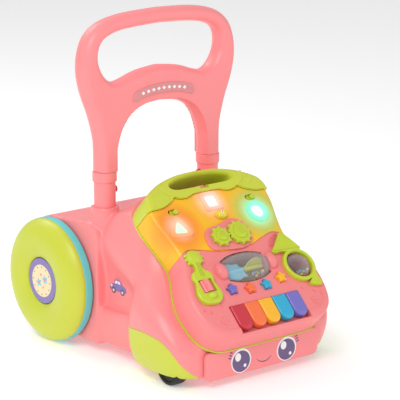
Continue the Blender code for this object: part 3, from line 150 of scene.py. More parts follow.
def rounded(corners, radius, steps=6):
    """A polygon with each corner turned into an arc."""
    result = []
    for index, corner in enumerate(corners):
        here = Vector(corner)
        back = (Vector(corners[index - 1]) - here).normalized()
        ahead = (Vector(corners[(index + 1) % len(corners)]) - here).normalized()
        half_angle = back.angle(ahead) / 2
        middle = here + (back + ahead).normalized() * radius / math.sin(half_angle)
        start = here + back * radius / math.tan(half_angle) - middle
        end = here + ahead * radius / math.tan(half_angle) - middle
        sweep = math.atan2(start.x * end.y - start.y * end.x, start.dot(end))
        result += [tuple(middle + Matrix.Rotation(sweep * k / steps, 2) @ start) for k in range(steps + 1)]
    return result


def inset(outline, distance):
    """The anticlockwise outline moved inwards, or outwards where distance is negative."""
    result = []
    for index, point in enumerate(outline):
        back = (Vector(point) - Vector(outline[index - 1])).normalized()
        ahead = (Vector(outline[(index + 1) % len(outline)]) - Vector(point)).normalized()
        normal = Vector((-back.y - ahead.y, back.x + ahead.x)).normalized()
        mitre = max(0.5, normal.dot(Vector((-back.y, back.x))))
        result.append(tuple(Vector(point) + normal * distance / mitre))
    return result


def moved_outline(outline, x=0.0, y=0.0, turn=0.0):
    spin = Matrix.Rotation(turn, 2)
    return [tuple(spin @ Vector(point) + Vector((x, y))) for point in outline]


# %% [markdown]
# ## From outline to solid
# Moulded plastic has no sharp edges. `pillow` stacks the outline upwards and rolls its rim
# over a quarter circle, and `turned` spins a profile for wheels and pegs. A voxel remesh
# followed by a few rounds of smoothing melts several solids into one soft shell, which no
# bevel could do where surfaces meet at changing angles.

# %% Solids
def loft(rings, closed=False):
    """A closed mesh through rings of 3D points, with a cap at each end unless it closes on itself."""
    mesh = bmesh.new()
    rows = [[mesh.verts.new(point) for point in ring] for ring in rings]
    for low, high in zip(rows, rows[1:] + rows[:1] if closed else rows[1:]):
        for index in range(len(low)):
            after = (index + 1) % len(low)
            mesh.faces.new((low[index], low[after], high[after], high[index]))
    if not closed:
        mesh.faces.new(rows[0][::-1])
        mesh.faces.new(rows[-1])
    bmesh.ops.recalc_face_normals(mesh, faces=mesh.faces)
    return mesh


def stacked(outline, rings):
    """The outline stacked along z: each ring is (inset, z)."""
    return loft([[(x, y, z) for x, y in inset(outline, distance)] for distance, z in rings])


def pillow(outline, low, high, edge, steps=5, crown=0.0, reach=0.0):
    """A raised solid with a rolled rim. With a crown, its top goes on rising over the reach."""
    rings = [(0.0, low)]
    for k in range(steps + 1):
        turn = math.pi / 2 * k / steps
        rings.append((edge * (1 - math.cos(turn)), high - edge + edge * math.sin(turn)))
    for k in range(1, steps + 1 if crown else 0):
        share = k / steps
        rings.append((edge + reach * share, high + crown * math.sin(math.pi / 2 * share)))
    return stacked(outline, rings)


def turned(profile, sides=64, closed=False):
    """The (radius, height) profile spun about z, with poles where the radius is 0."""
    mesh = bmesh.new()
    rows = []
    for radius, height in profile:
        if radius < 1e-6:
            rows.append([mesh.verts.new((0.0, 0.0, height))])
        else:
            rows.append([mesh.verts.new((x, y, height)) for x, y in circle(radius, sides)])
    for low, high in zip(rows, rows[1:] + rows[:1] if closed else rows[1:]):
        for index in range(sides):
            after = (index + 1) % sides
            corners = [low[index % len(low)], low[after % len(low)], high[after % len(high)],
                       high[index % len(high)]]
            if len(set(corners)) > 2:
                mesh.faces.new(list(dict.fromkeys(corners)))
    if not closed:
        for row in (rows[0], rows[-1]):
            if len(row) > 1:
                mesh.faces.new(row)
    bmesh.ops.recalc_face_normals(mesh, faces=mesh.faces)
    return mesh


def cylinder(radius, low, high, sides=64):
    return turned([(0.0, low), (radius, low), (radius, high), (0.0, high)], sides)


def moved(mesh, matrix):
    bmesh.ops.transform(mesh, matrix=matrix, verts=mesh.verts)
    if matrix.determinant() < 0:
        bmesh.ops.reverse_faces(mesh, faces=mesh.faces)
    return mesh


def shifted(mesh, x=0.0, y=0.0, z=0.0):
    return moved(mesh, Matrix.Translation((x, y, z)))


def joined(*meshes):
    first = meshes[0]
    for other in meshes[1:]:
        spare = bpy.data.meshes.new("spare")
        other.to_mesh(spare)
        first.from_mesh(spare)
        bpy.data.meshes.remove(spare)
        other.free()
    return first


ALONG_X = Matrix.Rotation(math.pi / 2, 4, "Y")
ALONG_Y = Matrix.Rotation(-math.pi / 2, 4, "X")
SIDES = (("left", -1), ("right", 1))


def outward(at, way):
    """Lays a turned shape along x at a place, with its top pointing to -x or x."""
    return Matrix.Translation(at) @ Matrix.Diagonal((way, 1, 1, 1)) @ ALONG_X


def upright(y, way=-1):
    """Stands a flat shape up at y, so that it faces the front, or the rear where way is 1."""
    return Matrix(((1, 0, 0, 0), (0, 0, way, y), (0, 1, 0, 0), (0, 0, 0, 1)))


# %% Modifiers worked out at once
def as_object(mesh, name="spare"):
    data = bpy.data.meshes.new(name)
    mesh.to_mesh(data)
    item = bpy.data.objects.new(name, data)
    bpy.context.scene.collection.objects.link(item)
    return item


def worked_out(item):
    """The evaluated mesh of an object, which is then removed."""
    graph = bpy.context.evaluated_depsgraph_get()
    data = bpy.data.meshes.new_from_object(item.evaluated_get(graph))
    mesh = bmesh.new()
    mesh.from_mesh(data)
    bpy.data.meshes.remove(data)
    bpy.data.meshes.remove(item.data)
    return mesh


def combined(mesh, *tools, operation="DIFFERENCE"):
    """The mesh with each tool cut away, joined on, or kept in common."""
    item = as_object(mesh)
    spares = [as_object(tool, "tool") for tool in tools]
    for spare in spares:
        modifier = item.modifiers.new("combine", "BOOLEAN")
        modifier.operation, modifier.object, modifier.solver = operation, spare, "EXACT"
    result = worked_out(item)
    for spare in spares:
        bpy.data.meshes.remove(spare.data)
    return result


def melted(mesh, voxel, rounds):
    """The solids in the mesh as one soft skin."""
    item = as_object(mesh)
    remesh = item.modifiers.new("melt", "REMESH")
    remesh.mode, remesh.voxel_size = "VOXEL", voxel
    soften = item.modifiers.new("soften", "SMOOTH")
    soften.factor, soften.iterations = 0.5, rounds
    return worked_out(item)

# %% [markdown]
# ## Shader arithmetic
# A finish changes a little over a surface, so its nodes hold small sums. `Number` wraps a
# shader socket so that those sums read as plain arithmetic.

# %% Finishes
class Number:
    """A shader socket that Python's arithmetic works on."""

    def __init__(self, socket):
        self.socket = socket

    def _math(self, operation, first, second):
        node = self.socket.id_data.nodes.new("ShaderNodeMath")
        node.operation = operation
        feed(node.inputs[0], first)
        feed(node.inputs[1], second)
        return Number(node.outputs[0])

    def __add__(self, other):
        return self._math("ADD", self, other)

    def __sub__(self, other):
        return self._math("SUBTRACT", self, other)

    def __rsub__(self, other):
        return self._math("SUBTRACT", other, self)

    def __mul__(self, other):
        return self._math("MULTIPLY", self, other)

    def __truediv__(self, other):
        return self._math("DIVIDE", self, other)

    def __pow__(self, other):
        return self._math("POWER", self, other)

    def at_least(self, other):
        return self._math("MAXIMUM", self, other)

    __radd__, __rmul__ = __add__, __mul__


def feed(socket, value):
    """Gives a socket a link or a plain value."""
    if isinstance(value, Number):
        socket.id_data.links.new(value.socket, socket)
    else:
        socket.default_value = value


class Finish:
    """A Principled material that is being made."""

    def __init__(self, name, **values):
        self.material = bpy.data.materials.new(name)
        self.material.use_nodes = True
        self.tree = self.material.node_tree
        self.shader = self.tree.nodes["Principled BSDF"]
        self.place = self.node("TexCoord", output="Object")
        self.set(**values)

    def node(self, kind, output=0, **values):
        """The output of a new node. A value's name is its socket's, with _ for a space."""
        node = self.tree.nodes.new("ShaderNode" + kind)
        for name, value in values.items():
            feed(node.inputs[name.replace("_", " ")], value)
        return Number(node.outputs[output])

    def mix(self, factor, first, second):
        node = self.tree.nodes.new("ShaderNodeMix")
        node.data_type = "RGBA"
        for index, value in ((0, factor), (6, first), (7, second)):
            feed(node.inputs[index], value)
        return Number(node.outputs[2])

    def noise(self, scale, detail=2.0):
        return self.node("TexNoise", Vector=self.place, Scale=scale, Detail=detail)

    def bump(self, height, distance):
        self.set(Normal=self.node("Bump", Height=height, Distance=distance, Strength=1.0))

    def set(self, **values):
        for name, value in values.items():
            feed(self.shader.inputs[name.replace("_", " ")], value)


def shade(colour, share):
    """The colour made lighter or darker, with an alpha of 1."""
    return (*(min(1.0, max(0.0, part * share)) for part in colour[:3]), 1.0)


# %% [markdown]
# ## Moulded plastic
# Toy plastic is coloured right through and comes out of a polished mould. Up close it still
# has a faint orange peel, a slow drift in colour where the melt flowed, and patches that
# hands have rubbed a little duller. Those three noises, each at its own scale, are what tell
# it from a flat colour. The grain is finer on the big shells than on the glossy buttons.

# %% Plastic
def moulded(name, colour, roughness=0.34, grain=0.00006, drift=0.05, **values):
    finish = Finish(name, **values)
    flow = finish.noise(14.0, 3.0)
    finish.colour = finish.mix(flow, shade(colour, 1 - drift), shade(colour, 1 + drift))
    finish.set(Base_Color=finish.colour)
    rubbed = finish.noise(38.0, 4.0)
    finish.set(Roughness=rubbed * 0.16 + (roughness - 0.08))
    peel = finish.noise(520.0, 2.0) + finish.noise(1500.0, 1.0) * 0.35
    finish.bump(peel, grain)
    return finish


PINK, YELLOW, LIME = (1.0, 0.275, 0.285), (1.0, 0.52, 0.012), (0.6, 0.66, 0.05)
CYAN, PURPLE, SKY, CREAM = (0.14, 0.66, 0.68), (0.25, 0.2, 0.5), (0.2, 0.62, 0.78), (0.95, 0.76, 0.46)
pink = moulded("pink_shell_plastic", PINK, 0.36).material
deep_pink = moulded("pink_panel_plastic", (0.93, 0.245, 0.25), 0.38, 0.00009).material
yellow = moulded("yellow_shell_plastic", YELLOW, 0.36).material
lime = moulded("lime_shell_plastic", LIME, 0.36).material
lime_toys = moulded("lime_toy_plastic", (0.56, 0.66, 0.035), 0.26, 0.00004).material
cyan = moulded("cyan_tyre_plastic", CYAN, 0.48, 0.00012).material
purple = moulded("purple_print", PURPLE, 0.32, 0.00002).material
dark_purple = moulded("dark_purple_print", (0.145, 0.1, 0.24), 0.3, 0.00002).material
cream = moulded("cream_print", CREAM, 0.34, 0.00002).material
white = moulded("white_print", (0.95, 0.95, 0.97), 0.3, 0.00002).material
coral = moulded("coral_print", (1.0, 0.2, 0.3), 0.32, 0.00002).material
sky = moulded("sky_plastic", SKY, 0.28).material
black = moulded("black_wheel_plastic", (0.01, 0.01, 0.011), 0.52, 0.00025, 0.3).material
buttons = {word: moulded(word + "_button_plastic", colour, 0.26, 0.00003).material for word, colour in {
    "red": (0.62, 0.035, 0.055), "orange": (1.0, 0.19, 0.06), "yellow": (1.0, 0.49, 0.025),
    "blue": (0.03, 0.42, 0.66), "purple": (0.19, 0.17, 0.56)}.items()}

# %% [markdown]
# ## Placing a finished piece
# A finished piece keeps its place in its mesh, rides on a body of the frame, and stands for
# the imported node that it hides. Smooth shading is kept to angles under 40 degrees, and
# weighted normals stop a big flat face from being shaded by the thin rim next to it.

# %% Placing
made = []


def finished(name, mesh, material, body, replaced=None, matrix=None, angle=40.0, weighted=True):
    if matrix is not None:
        moved(mesh, matrix)
    item = as_object(mesh, name)
    mesh.free()
    item.data.shade_smooth()
    item.data.set_sharp_from_angle(angle=math.radians(angle))
    if weighted:
        modifier = item.modifiers.new("weighted", "WEIGHTED_NORMAL")
        modifier.keep_sharp = True
        graph = bpy.context.evaluated_depsgraph_get()
        plain = bpy.data.meshes.new_from_object(item.evaluated_get(graph))
        item.modifiers.clear()
        item.data, rough = plain, item.data
        bpy.data.meshes.remove(rough)
        item.data.name = name
    item.data.materials.clear()
    item.data.materials.append(material)
    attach(item, body)
    if replaced:
        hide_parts(replaced)
    made.append((name, len(item.data.polygons)))

# %% [markdown]
# ## Rear wheels
# Each rear wheel is a puffy lime disc with a cyan ring behind it and a round cap in the
# middle. All three are turned shapes. The disc's profile is a curve through a few radii, so
# its face swells and sinks without a visible facet.

# %% Rear wheels
axle_y, axle_z = centre("rear_axle").y, centre("rear_axle").z
WHEEL_RADIUS, TYRE_OUTER = 0.088, 0.13
DISC_FACE = [(0.0334, 0.14), (0.034, 0.1428), (0.0385, 0.1464), (0.048, 0.149), (0.059, 0.15),
             (0.069, 0.1484), (0.0775, 0.1444), (0.0838, 0.1388), (0.0868, 0.134), (0.0872, 0.1303)]


def on_axle(mesh, side):
    return moved(mesh, outward((0.0, axle_y, axle_z), side))


for side_name, side in SIDES:
    face = smooth(DISC_FACE, 4)
    disc = turned([(0.012, 0.1215), (0.012, 0.138), (0.0334, 0.138)] + face
                  + [(0.0735, 0.1303), (0.0735, 0.1215)], 128, closed=True)
    finished(f"{side_name}_rear_disc", on_axle(disc, side), lime, f"{side_name}_rear_wheel",
             f"rear_wheel_{side_name}", angle=50)
    ring = turned([(0.074, 0.1185), (0.0868, 0.1185), (0.0877, 0.1192), (0.088, 0.1205), (0.088, 0.1285),
                   (0.0876, 0.1296), (0.0868, TYRE_OUTER), (0.074, TYRE_OUTER)], 128, closed=True)
    finished(f"{side_name}_rear_ring", on_axle(ring, side), cyan, f"{side_name}_rear_wheel",
             f"rear_tyre_{side_name}", angle=50)
    cap = turned([(0.0, 0.1402), (0.0328, 0.1402), (0.0328, 0.1418), (0.0322, 0.1427), (0.0308, 0.1431),
                  (0.0, 0.1433)], 96)
    finished(f"{side_name}_hub_cap", on_axle(cap, side), purple, f"{side_name}_rear_wheel",
             f"hub_cap_{side_name}")

# %% [markdown]
# ## Printed hub
# The hub carries a printed disc: a cream face with a ring of purple dots, two flowers and
# some coral spots. Prints are thin solids here, a tenth of a millimetre apart, so their edges
# stay crisp from any distance.

# %% Printed hub
def printed(name, outlines, lift, material, body, matrix):
    """Flat shapes a tenth of a millimetre thick, at a height above the printed surface."""
    shapes = joined(*[stacked(outline, [(0.0, lift), (0.0, lift + 0.0001)]) for outline in outlines])
    finished(name, shapes, material, body, matrix=matrix, weighted=False)


def flower(radius, petals, at=(0.0, 0.0)):
    return [(at[0] + radius * (0.78 + 0.22 * math.cos(petals * turn)) * math.cos(turn),
             at[1] + radius * (0.78 + 0.22 * math.cos(petals * turn)) * math.sin(turn))
            for turn in (math.tau * k / 96 for k in range(96))]


for side_name, side in SIDES:
    hub = Matrix(((0, 0, side, side * 0.1433), (-side, 0, 0, axle_y), (0, 1, 0, axle_z), (0, 0, 0, 1)))
    body = f"{side_name}_rear_wheel"
    printed(f"{side_name}_hub_face", [circle(0.0232, 96)], 0.0, cream, body, hub)
    dots = [circle(0.0011, 16, (0.0198 * math.cos(k * math.tau / 12), 0.0198 * math.sin(k * math.tau / 12)))
            for k in range(12)]
    printed(f"{side_name}_hub_dots", dots, 0.0001, purple, body, hub)
    petals = [flower(0.0062, 5, (x, y)) for x, y in ((-0.0075, 0.003), (0.007, -0.0035))]
    printed(f"{side_name}_hub_flowers", petals, 0.0001, sky, body, hub)
    printed(f"{side_name}_hub_hearts", [circle(0.0021, 24, (-0.0075, 0.003)),
                                        circle(0.0021, 24, (0.007, -0.0035)),
                                        circle(0.0017, 24, (0.002, 0.0085)),
                                        circle(0.0015, 24, (-0.003, -0.009))], 0.0002, coral, body, hub)

# %% [markdown]
# ## Body shell
# The car's body is a bonnet, a round back and two sockets for the posts, moulded as one.
# The bonnet is a row of cross-sections, curved both round and along the car. Melting the
# solids together gives the soft valleys that a real mould has, and only then are the crisp
# places cut: the panel's seat, the wheel wells and the bores.

# %% Body sections
GROUND, WALL, BARREL_HALF = 0.01, 0.003, 0.1165
TILT = math.asin(face_up.z)
SEAT = 0.0403                  # panel face down to the plane that its rim rests on
PANEL_FOOT_Y, PANEL_FOOT_Z = -0.2042, 0.0768
PANEL_HALF = [(0.0, 0.0), (0.058, 0.0), (0.086, 0.0035), (0.104, 0.017), (0.112, 0.037), (0.1145, 0.06),
              (0.112, 0.08), (0.1045, 0.101), (0.0965, 0.12), (0.0945, 0.137), (0.098, 0.16),
              (0.1035, 0.185), (0.1045, 0.206), (0.099, 0.224), (0.084, 0.2355), (0.062, 0.2455),
              (0.033, 0.2522), (0.0, 0.254)]
# y, then half width and height of the sill's lower edge, the sill, the ledge, the flank and the crease.
BONNET = [
    (-0.1650, (0.088, 0.016), (0.100, 0.022), (0.106, 0.034), (0.108, 0.044), (0.107, 0.050), (0.104, 0.054)),
    (-0.1600, (0.092, 0.012), (0.112, 0.018), (0.121, 0.035), (0.124, 0.048), (0.122, 0.055), (0.114, 0.060)),
    (-0.1480, (0.096, 0.012), (0.122, 0.015), (0.133, 0.036), (0.136, 0.056), (0.134, 0.066), (0.123, 0.074)),
    (-0.1250, (0.096, 0.012), (0.130, 0.015), (0.139, 0.038), (0.142, 0.062), (0.142, 0.080), (0.131, 0.095)),
    (-0.1000, (0.096, 0.012), (0.131, 0.015), (0.141, 0.038), (0.143, 0.065), (0.145, 0.090), (0.132, 0.110)),
    (-0.0750, (0.096, 0.012), (0.130, 0.015), (0.140, 0.038), (0.142, 0.066), (0.142, 0.092), (0.128, 0.119)),
    (-0.0560, (0.096, 0.012), (0.126, 0.016), (0.135, 0.038), (0.138, 0.065), (0.135, 0.091), (0.121, 0.124)),
    (-0.0480, (0.096, 0.012), (0.118, 0.017), (0.123, 0.038), (0.126, 0.064), (0.126, 0.090), (0.118, 0.126)),
    (-0.0420, (0.096, 0.012), (0.112, 0.018), (0.112, 0.040), (0.112, 0.065), (0.115, 0.092), (0.116, 0.127)),
    (-0.0200, (0.096, 0.012), (0.112, 0.018), (0.112, 0.063), (0.103, 0.070), (0.101, 0.100), (0.115, 0.134)),
    (0.0100, (0.096, 0.012), (0.112, 0.018), (0.112, 0.063), (0.102, 0.070), (0.100, 0.106), (0.114, 0.148)),
    (0.0360, (0.096, 0.012), (0.112, 0.018), (0.112, 0.063), (0.102, 0.070), (0.101, 0.112), (0.110, 0.160)),
    (0.0560, (0.096, 0.012), (0.110, 0.018), (0.110, 0.063), (0.103, 0.070), (0.102, 0.112), (0.104, 0.158)),
]
COWL_TOP = {0.01: (0.101, 0.205, 0.222), 0.036: (0.097, 0.192, 0.204), 0.056: (0.092, 0.18, 0.186)}


def seat_height(y):
    return PANEL_FOOT_Z + (y - PANEL_FOOT_Y) * math.tan(TILT) - SEAT / math.cos(TILT)


def seat_half_width(y):
    along = max(0.01, (y - PANEL_FOOT_Y - SEAT * math.sin(TILT)) / math.cos(TILT))
    for (x0, y0), (x1, y1) in zip(PANEL_HALF[1:], PANEL_HALF[2:]):
        if y0 <= along <= y1:
            return x0 + (x1 - x0) * (along - y0) / (y1 - y0) + 0.001
    return PANEL_HALF[1][0]


def bonnet_section(row):
    y, *side = row
    if y in COWL_TOP:
        half_width, low, high = COWL_TOP[y]
        crown = [(half_width, low), (half_width * 0.6, high)]
    else:
        crown = [(seat_half_width(y), seat_height(y) + 0.0012),
                 (seat_half_width(y) - 0.008, seat_height(y) + 0.012)]
    half = [(0.0, GROUND + 0.002)] + side + crown + [(0.0, crown[1][1])]
    # The corners at the bottom stay where they are, and the flank above them is a curve.
    curve = half[:3] + smooth(half[2:8], 4)[1:] + half[8:]
    return [(x, y, z) for x, z in mirrored(curve)]


def bonnet():
    sections = [bonnet_section(row) for row in BONNET]
    lines = [smooth([section[index] for section in sections], 3) for index in range(len(sections[0]))]
    return loft([[line[station] for line in lines] for station in range(len(lines[0]))])


def side_view(outline, low, high):
    """An outline in (y, z), given a width from low to high across the walker."""
    turn = Matrix(((0, 0, 1, 0), (1, 0, 0, 0), (0, 1, 0, 0), (0, 0, 0, 1)))
    return moved(stacked(outline, [(0.0, low), (0.0, high)]), turn)


def barrel():
    """The round back: flat below, an arc behind, and a long slope in front."""
    radius, rear, floor = WHEEL_RADIUS + 0.001, 0.137, GROUND + 0.0026
    low = -math.asin((WHEEL_RADIUS - floor) / radius)
    turns = [low + (math.pi / 2 - low) * k / 48 for k in range(49)]
    arc = [(rear + radius * math.cos(turn), WHEEL_RADIUS + radius * math.sin(turn)) for turn in turns]
    slope = smooth([(0.13, 0.177), (0.092, 0.181), (0.06, 0.182), (0.042, 0.17)], 4)[1:]
    return side_view([(0.042, floor)] + arc + slope, -BARREL_HALF, BARREL_HALF)


def post_pair(radius, low, high, sides=64):
    return joined(*[shifted(cylinder(radius, low, high, sides), side * POST_X, POST_Y) for _,
                    side in SIDES])


# %% Body shell
def panel_outline(steps=3):
    return mirrored(smooth(PANEL_HALF, steps))


def panel_block(outline, low, high):
    """A straight block in the panel's own frame, ready to cut the body, which is measured before WALKER."""
    return moved(stacked(outline, [(0.0, low), (0.0, high)]), WALKER.inverted() @ PANEL)


# The line between the pink wing and the lime skirt below it.
SKIRT_LINE = [(-0.18, -0.004), (-0.168, 0.006), (-0.162, 0.02), (-0.154, 0.04), (-0.144, 0.056),
              (-0.128, 0.067), (-0.1, 0.0715), (-0.07, 0.07), (-0.03, 0.066)]


def skirt_zone(side, gap):
    line = [(y, z - gap) for y, z in smooth(SKIRT_LINE, 8)]
    low, high = 0.1035 + gap, 0.17
    return side_view([(line[0][0], -0.02), (line[-1][0], -0.02)] + line[::-1],
                     *sorted((side * low, side * high)))


body_form = melted(joined(bonnet(), barrel(), post_pair(0.0198, 0.13, 0.2043)), 0.0024, 5)
print("body form has", len(body_form.faces), "faces")
tub = [(x, min(t, 0.2229)) for x, t in inset(panel_outline(), 0.0116)]
FRONT_WHEEL = WALKER.inverted() @ centre("front_wheel_left")
well = [moved(turned([(0.0, 0.098), (0.0268, 0.098), (0.0268, 0.123), (0.0235, 0.1262), (0.0, 0.1262)], 48),
              outward((0.0, FRONT_WHEEL.y, FRONT_WHEEL.z), side))
        for _, side in SIDES]
body_cuts = [panel_block(rectangle(0.2, 0.145, (0.0, 0.125)), -SEAT, 0.12), panel_block(tub, -0.0553, 0.02),
             post_pair(0.0153, 0.1497, 0.25)] + well
body_form = combined(body_form, *body_cuts)
pink_body = combined(body_form.copy(), *[skirt_zone(side, 0.0) for _, side in SIDES])
finished("body_moulding", pink_body, pink, "walker", "body_shell", WALKER)
for side_name, side in SIDES:
    skirt = combined(body_form.copy(), skirt_zone(side, 0.0005), operation="INTERSECT")
    finished(f"{side_name}_skirt_moulding", skirt, lime, "walker", f"wheel_skirt_{side_name}",
             WALKER)

# %% [markdown]
# ## Handle
# The handle is two shells screwed together, front and rear, with the seam running round the
# middle of its edge. Its form is one loft with an elliptical rim and a grip hole whose edge
# is rounded the same way. It is melted once and then cut into halves at the seam.

# %% Handle
HANDLE_FOOT, HANDLE_HALF, SPIGOT = 0.2535, 0.0155, 0.0105
HANDLE_OUTER = [(0.1055, 0.23), (0.1055, 0.275), (0.107, 0.3), (0.1155, 0.332), (0.127, 0.362),
                (0.133, 0.39), (0.1315, 0.417), (0.121, 0.442), (0.098, 0.459), (0.058, 0.4675),
                (0.0, 0.47)]
HANDLE_INNER = [(0.0, 0.341), (0.03, 0.3375), (0.052, 0.327), (0.066, 0.31), (0.073, 0.292),
                (0.0755, 0.275), (0.0755, 0.23)]
GRIP_HOLE = [(0.0, 0.391), (0.035, 0.3865), (0.062, 0.378), (0.078, 0.3755), (0.091, 0.382),
             (0.101, 0.396), (0.105, 0.412), (0.101, 0.428), (0.088, 0.4385), (0.058, 0.4455),
             (0.0, 0.4485)]


def rim(depth, inward, steps=6):
    """(inset, height) pairs of an elliptical edge, from one face to the other."""
    turns = [math.pi / 2 * k / steps for k in range(-steps, steps + 1)]
    return [(inward * (1 - math.cos(turn)), depth * math.sin(turn)) for turn in turns]


outer, inner = smooth(HANDLE_OUTER, 4), smooth(HANDLE_INNER, 4)
handle_line = outer + [(-x, z) for x, z in reversed(outer[:-1])]
handle_line += [(-x, z) for x, z in reversed(inner)][:-1] + inner
handle_form = stacked(handle_line, rim(HANDLE_HALF, 0.0105))
grip = mirrored(smooth(GRIP_HOLE, 4))
through = stacked(grip, [(-distance, z) for distance, z in [(0.016, -0.0185)] + rim(HANDLE_HALF, 0.0105)
                         + [(0.016, 0.0185)]])
handle_form = moved(melted(combined(handle_form, through), 0.0015, 5), upright(POST_Y))
sockets = post_pair(SPIGOT + 0.0004, 0.2, 0.311, 48)
below = moved(stacked(rectangle(0.2, 0.1), [(0.0, 0.2), (0.0, HANDLE_FOOT)]),
              Matrix.Translation((0, POST_Y, 0)))
handle_form = combined(handle_form, sockets, below)
print("handle form has", len(handle_form.faces), "faces")
for word, way in (("front", -1), ("rear", 1)):
    half = handle_form.copy()
    whole = list(half.verts) + list(half.edges) + list(half.faces)
    cut = bmesh.ops.bisect_plane(half, geom=whole, plane_co=(0, POST_Y + way * 0.00018, 0),
                                 plane_no=(0, way, 0), clear_inner=True)
    rim_edges = [item for item in cut["geom_cut"] if isinstance(item, bmesh.types.BMEdge)]
    bmesh.ops.triangle_fill(half, edges=rim_edges, use_beauty=True)
    bmesh.ops.recalc_face_normals(half, faces=half.faces)
    finished(f"handle_{word}_moulding", half, pink, "handle", f"handle_{word}_shell", WALKER)

# %% [markdown]
# ## Badge
# A matt band is set into the front of the handle. It carries a plain row of raised white
# diamonds.

# %% Badge
front_face = WALKER @ upright(POST_Y - HANDLE_HALF)
badge_line = smooth([(-0.049, 0.353), (-0.028, 0.3585), (0.0, 0.3605), (0.028, 0.3585), (0.049, 0.353)], 6)
band = ([(x, z - 0.007) for x, z in badge_line] + [(0.0525, 0.348), (0.0537, 0.351), (0.0525, 0.356)]
        + [(x, z + 0.007) for x, z in reversed(badge_line)]
        + [(-0.0525, 0.356), (-0.0537, 0.351), (-0.0525, 0.348)])
badge_finish = moulded("badge_plastic", (0.74, 0.27, 0.28), 0.55, 0.0003)
finished("badge_band", pillow(band, -0.0012, 0.0013, 0.0006, 3), badge_finish.material, "handle",
         "handle_badge", front_face)
diamonds = []
for step in range(9):
    x = -0.036 + 0.009 * step
    rise = 0.3605 - 0.0052 * (x / 0.049) ** 2 * 1.35
    diamonds.append(moved(pillow([(-0.003, 0.0), (0.0, -0.0026), (0.003, 0.0), (0.0, 0.0026)], 0.0009,
                                 0.0017, 0.0003, 2), Matrix.Translation((x, rise, 0.0))))
finished("badge_diamonds", joined(*diamonds), white, "handle", matrix=front_face)

# %% [markdown]
# ## Posts and their buttons
# Each post is a tube with a wider collar that the handle stands on, and a spigot inside the
# handle's foot. A red button springs out of each post towards the other one.

# %% Posts
POST_RADIUS, COLLAR, BUTTON_Z = 0.015, 0.0168, 0.226
for side_name, side in SIDES:
    profile = [(0.0, 0.3098), (SPIGOT - 0.0012, 0.3098), (SPIGOT - 0.0003, 0.3093), (SPIGOT, 0.3082),
               (SPIGOT, HANDLE_FOOT - 0.0004), (COLLAR - 0.0008, HANDLE_FOOT - 0.0004),
               (COLLAR - 0.0002, HANDLE_FOOT - 0.0007), (COLLAR, HANDLE_FOOT - 0.0013), (COLLAR, 0.2405),
               (COLLAR - 0.0004, 0.2395), (COLLAR - 0.0012, 0.2391), (POST_RADIUS, 0.239),
               (POST_RADIUS, 0.1502), (POST_RADIUS - 0.003, 0.1502), (POST_RADIUS - 0.003, 0.239),
               (SPIGOT - 0.003, 0.258), (SPIGOT - 0.003, 0.3068), (0.0, 0.3068)]
    post = shifted(turned(profile, 72), side * POST_X, POST_Y)
    press_way = joints[f"{side_name}_post_button_press"]["axis"][0]
    sideways = outward((side * POST_X, POST_Y, BUTTON_Z), -press_way)
    bore = moved(cylinder(0.0054, 0.0, 0.03, 40), sideways)
    finished(f"{side_name}_post_tube", combined(post, bore), pink, "walker", f"post_{side_name}",
             WALKER)
    knob = turned([(0.0, 0.0097), (0.005, 0.0097), (0.005, 0.0176), (0.0048, 0.0183), (0.0042, 0.0187),
                   (0.0026, 0.0189), (0.0, 0.019)], 48)
    finished(f"{side_name}_post_knob", moved(knob, sideways), buttons["red"], f"{side_name}_post_button",
             f"post_button_{side_name}", WALKER)

# %% [markdown]
# ## Front wheels
# The small front wheels are plain black plastic with a shallow dish in each face.

# %% Front wheels
front_place = centre("front_axle")
for side_name, side in SIDES:
    wheel = turned([(0.0033, 0.1062), (0.0075, 0.1062), (0.009, 0.1078), (0.018, 0.1078), (0.0196, 0.1058),
                    (0.021, 0.1052), (0.0226, 0.1056), (0.0236, 0.1068), (0.024, 0.109), (0.024, 0.1205),
                    (0.0236, 0.1227), (0.0226, 0.1239), (0.021, 0.1243), (0.0196, 0.1237), (0.018, 0.1217),
                    (0.009, 0.1217), (0.0075, 0.1233), (0.0033, 0.1233)], 72, closed=True)
    wheel = moved(wheel, outward((0.0, front_place.y, front_place.z), side))
    finished(f"{side_name}_front_roller", wheel, black, f"{side_name}_front_wheel",
             f"front_wheel_{side_name}", angle=50)

# %% [markdown]
# ## Face
# The plate under the panel carries a printed face: two eyes with lashes, and a smile.

# %% Face
FACE_HALF, FACE_Y, FACE_LOW, FACE_HIGH, FACE_THICK = 0.098, -0.173, 0.011, 0.0505, 0.007
plate_line = rounded([(-FACE_HALF, FACE_LOW), (FACE_HALF, FACE_LOW), (FACE_HALF, FACE_HIGH),
                      (-FACE_HALF, FACE_HIGH)], 0.0085, 8)
plate = pillow(plate_line, 0.0002, FACE_THICK, 0.0032, 6)
finished("face_moulding", moved(plate, upright(FACE_Y + FACE_THICK)), pink, "walker", "face_plate",
         WALKER)


def strip(points, width):
    """A line of the given width with tapered ends, as an outline."""
    line = [Vector(point) for point in smooth(points, 6)]
    left, right = [], []
    for index, point in enumerate(line):
        share = index / (len(line) - 1)
        ahead = (line[min(index + 1, len(line) - 1)] - line[max(index - 1, 0)]).normalized()
        across = Vector((-ahead.y, ahead.x)) * width / 2 * math.sin(math.pi * (0.12 + 0.76 * share))
        left.append(tuple(point + across))
        right.append(tuple(point - across))
    return left[::-1] + right


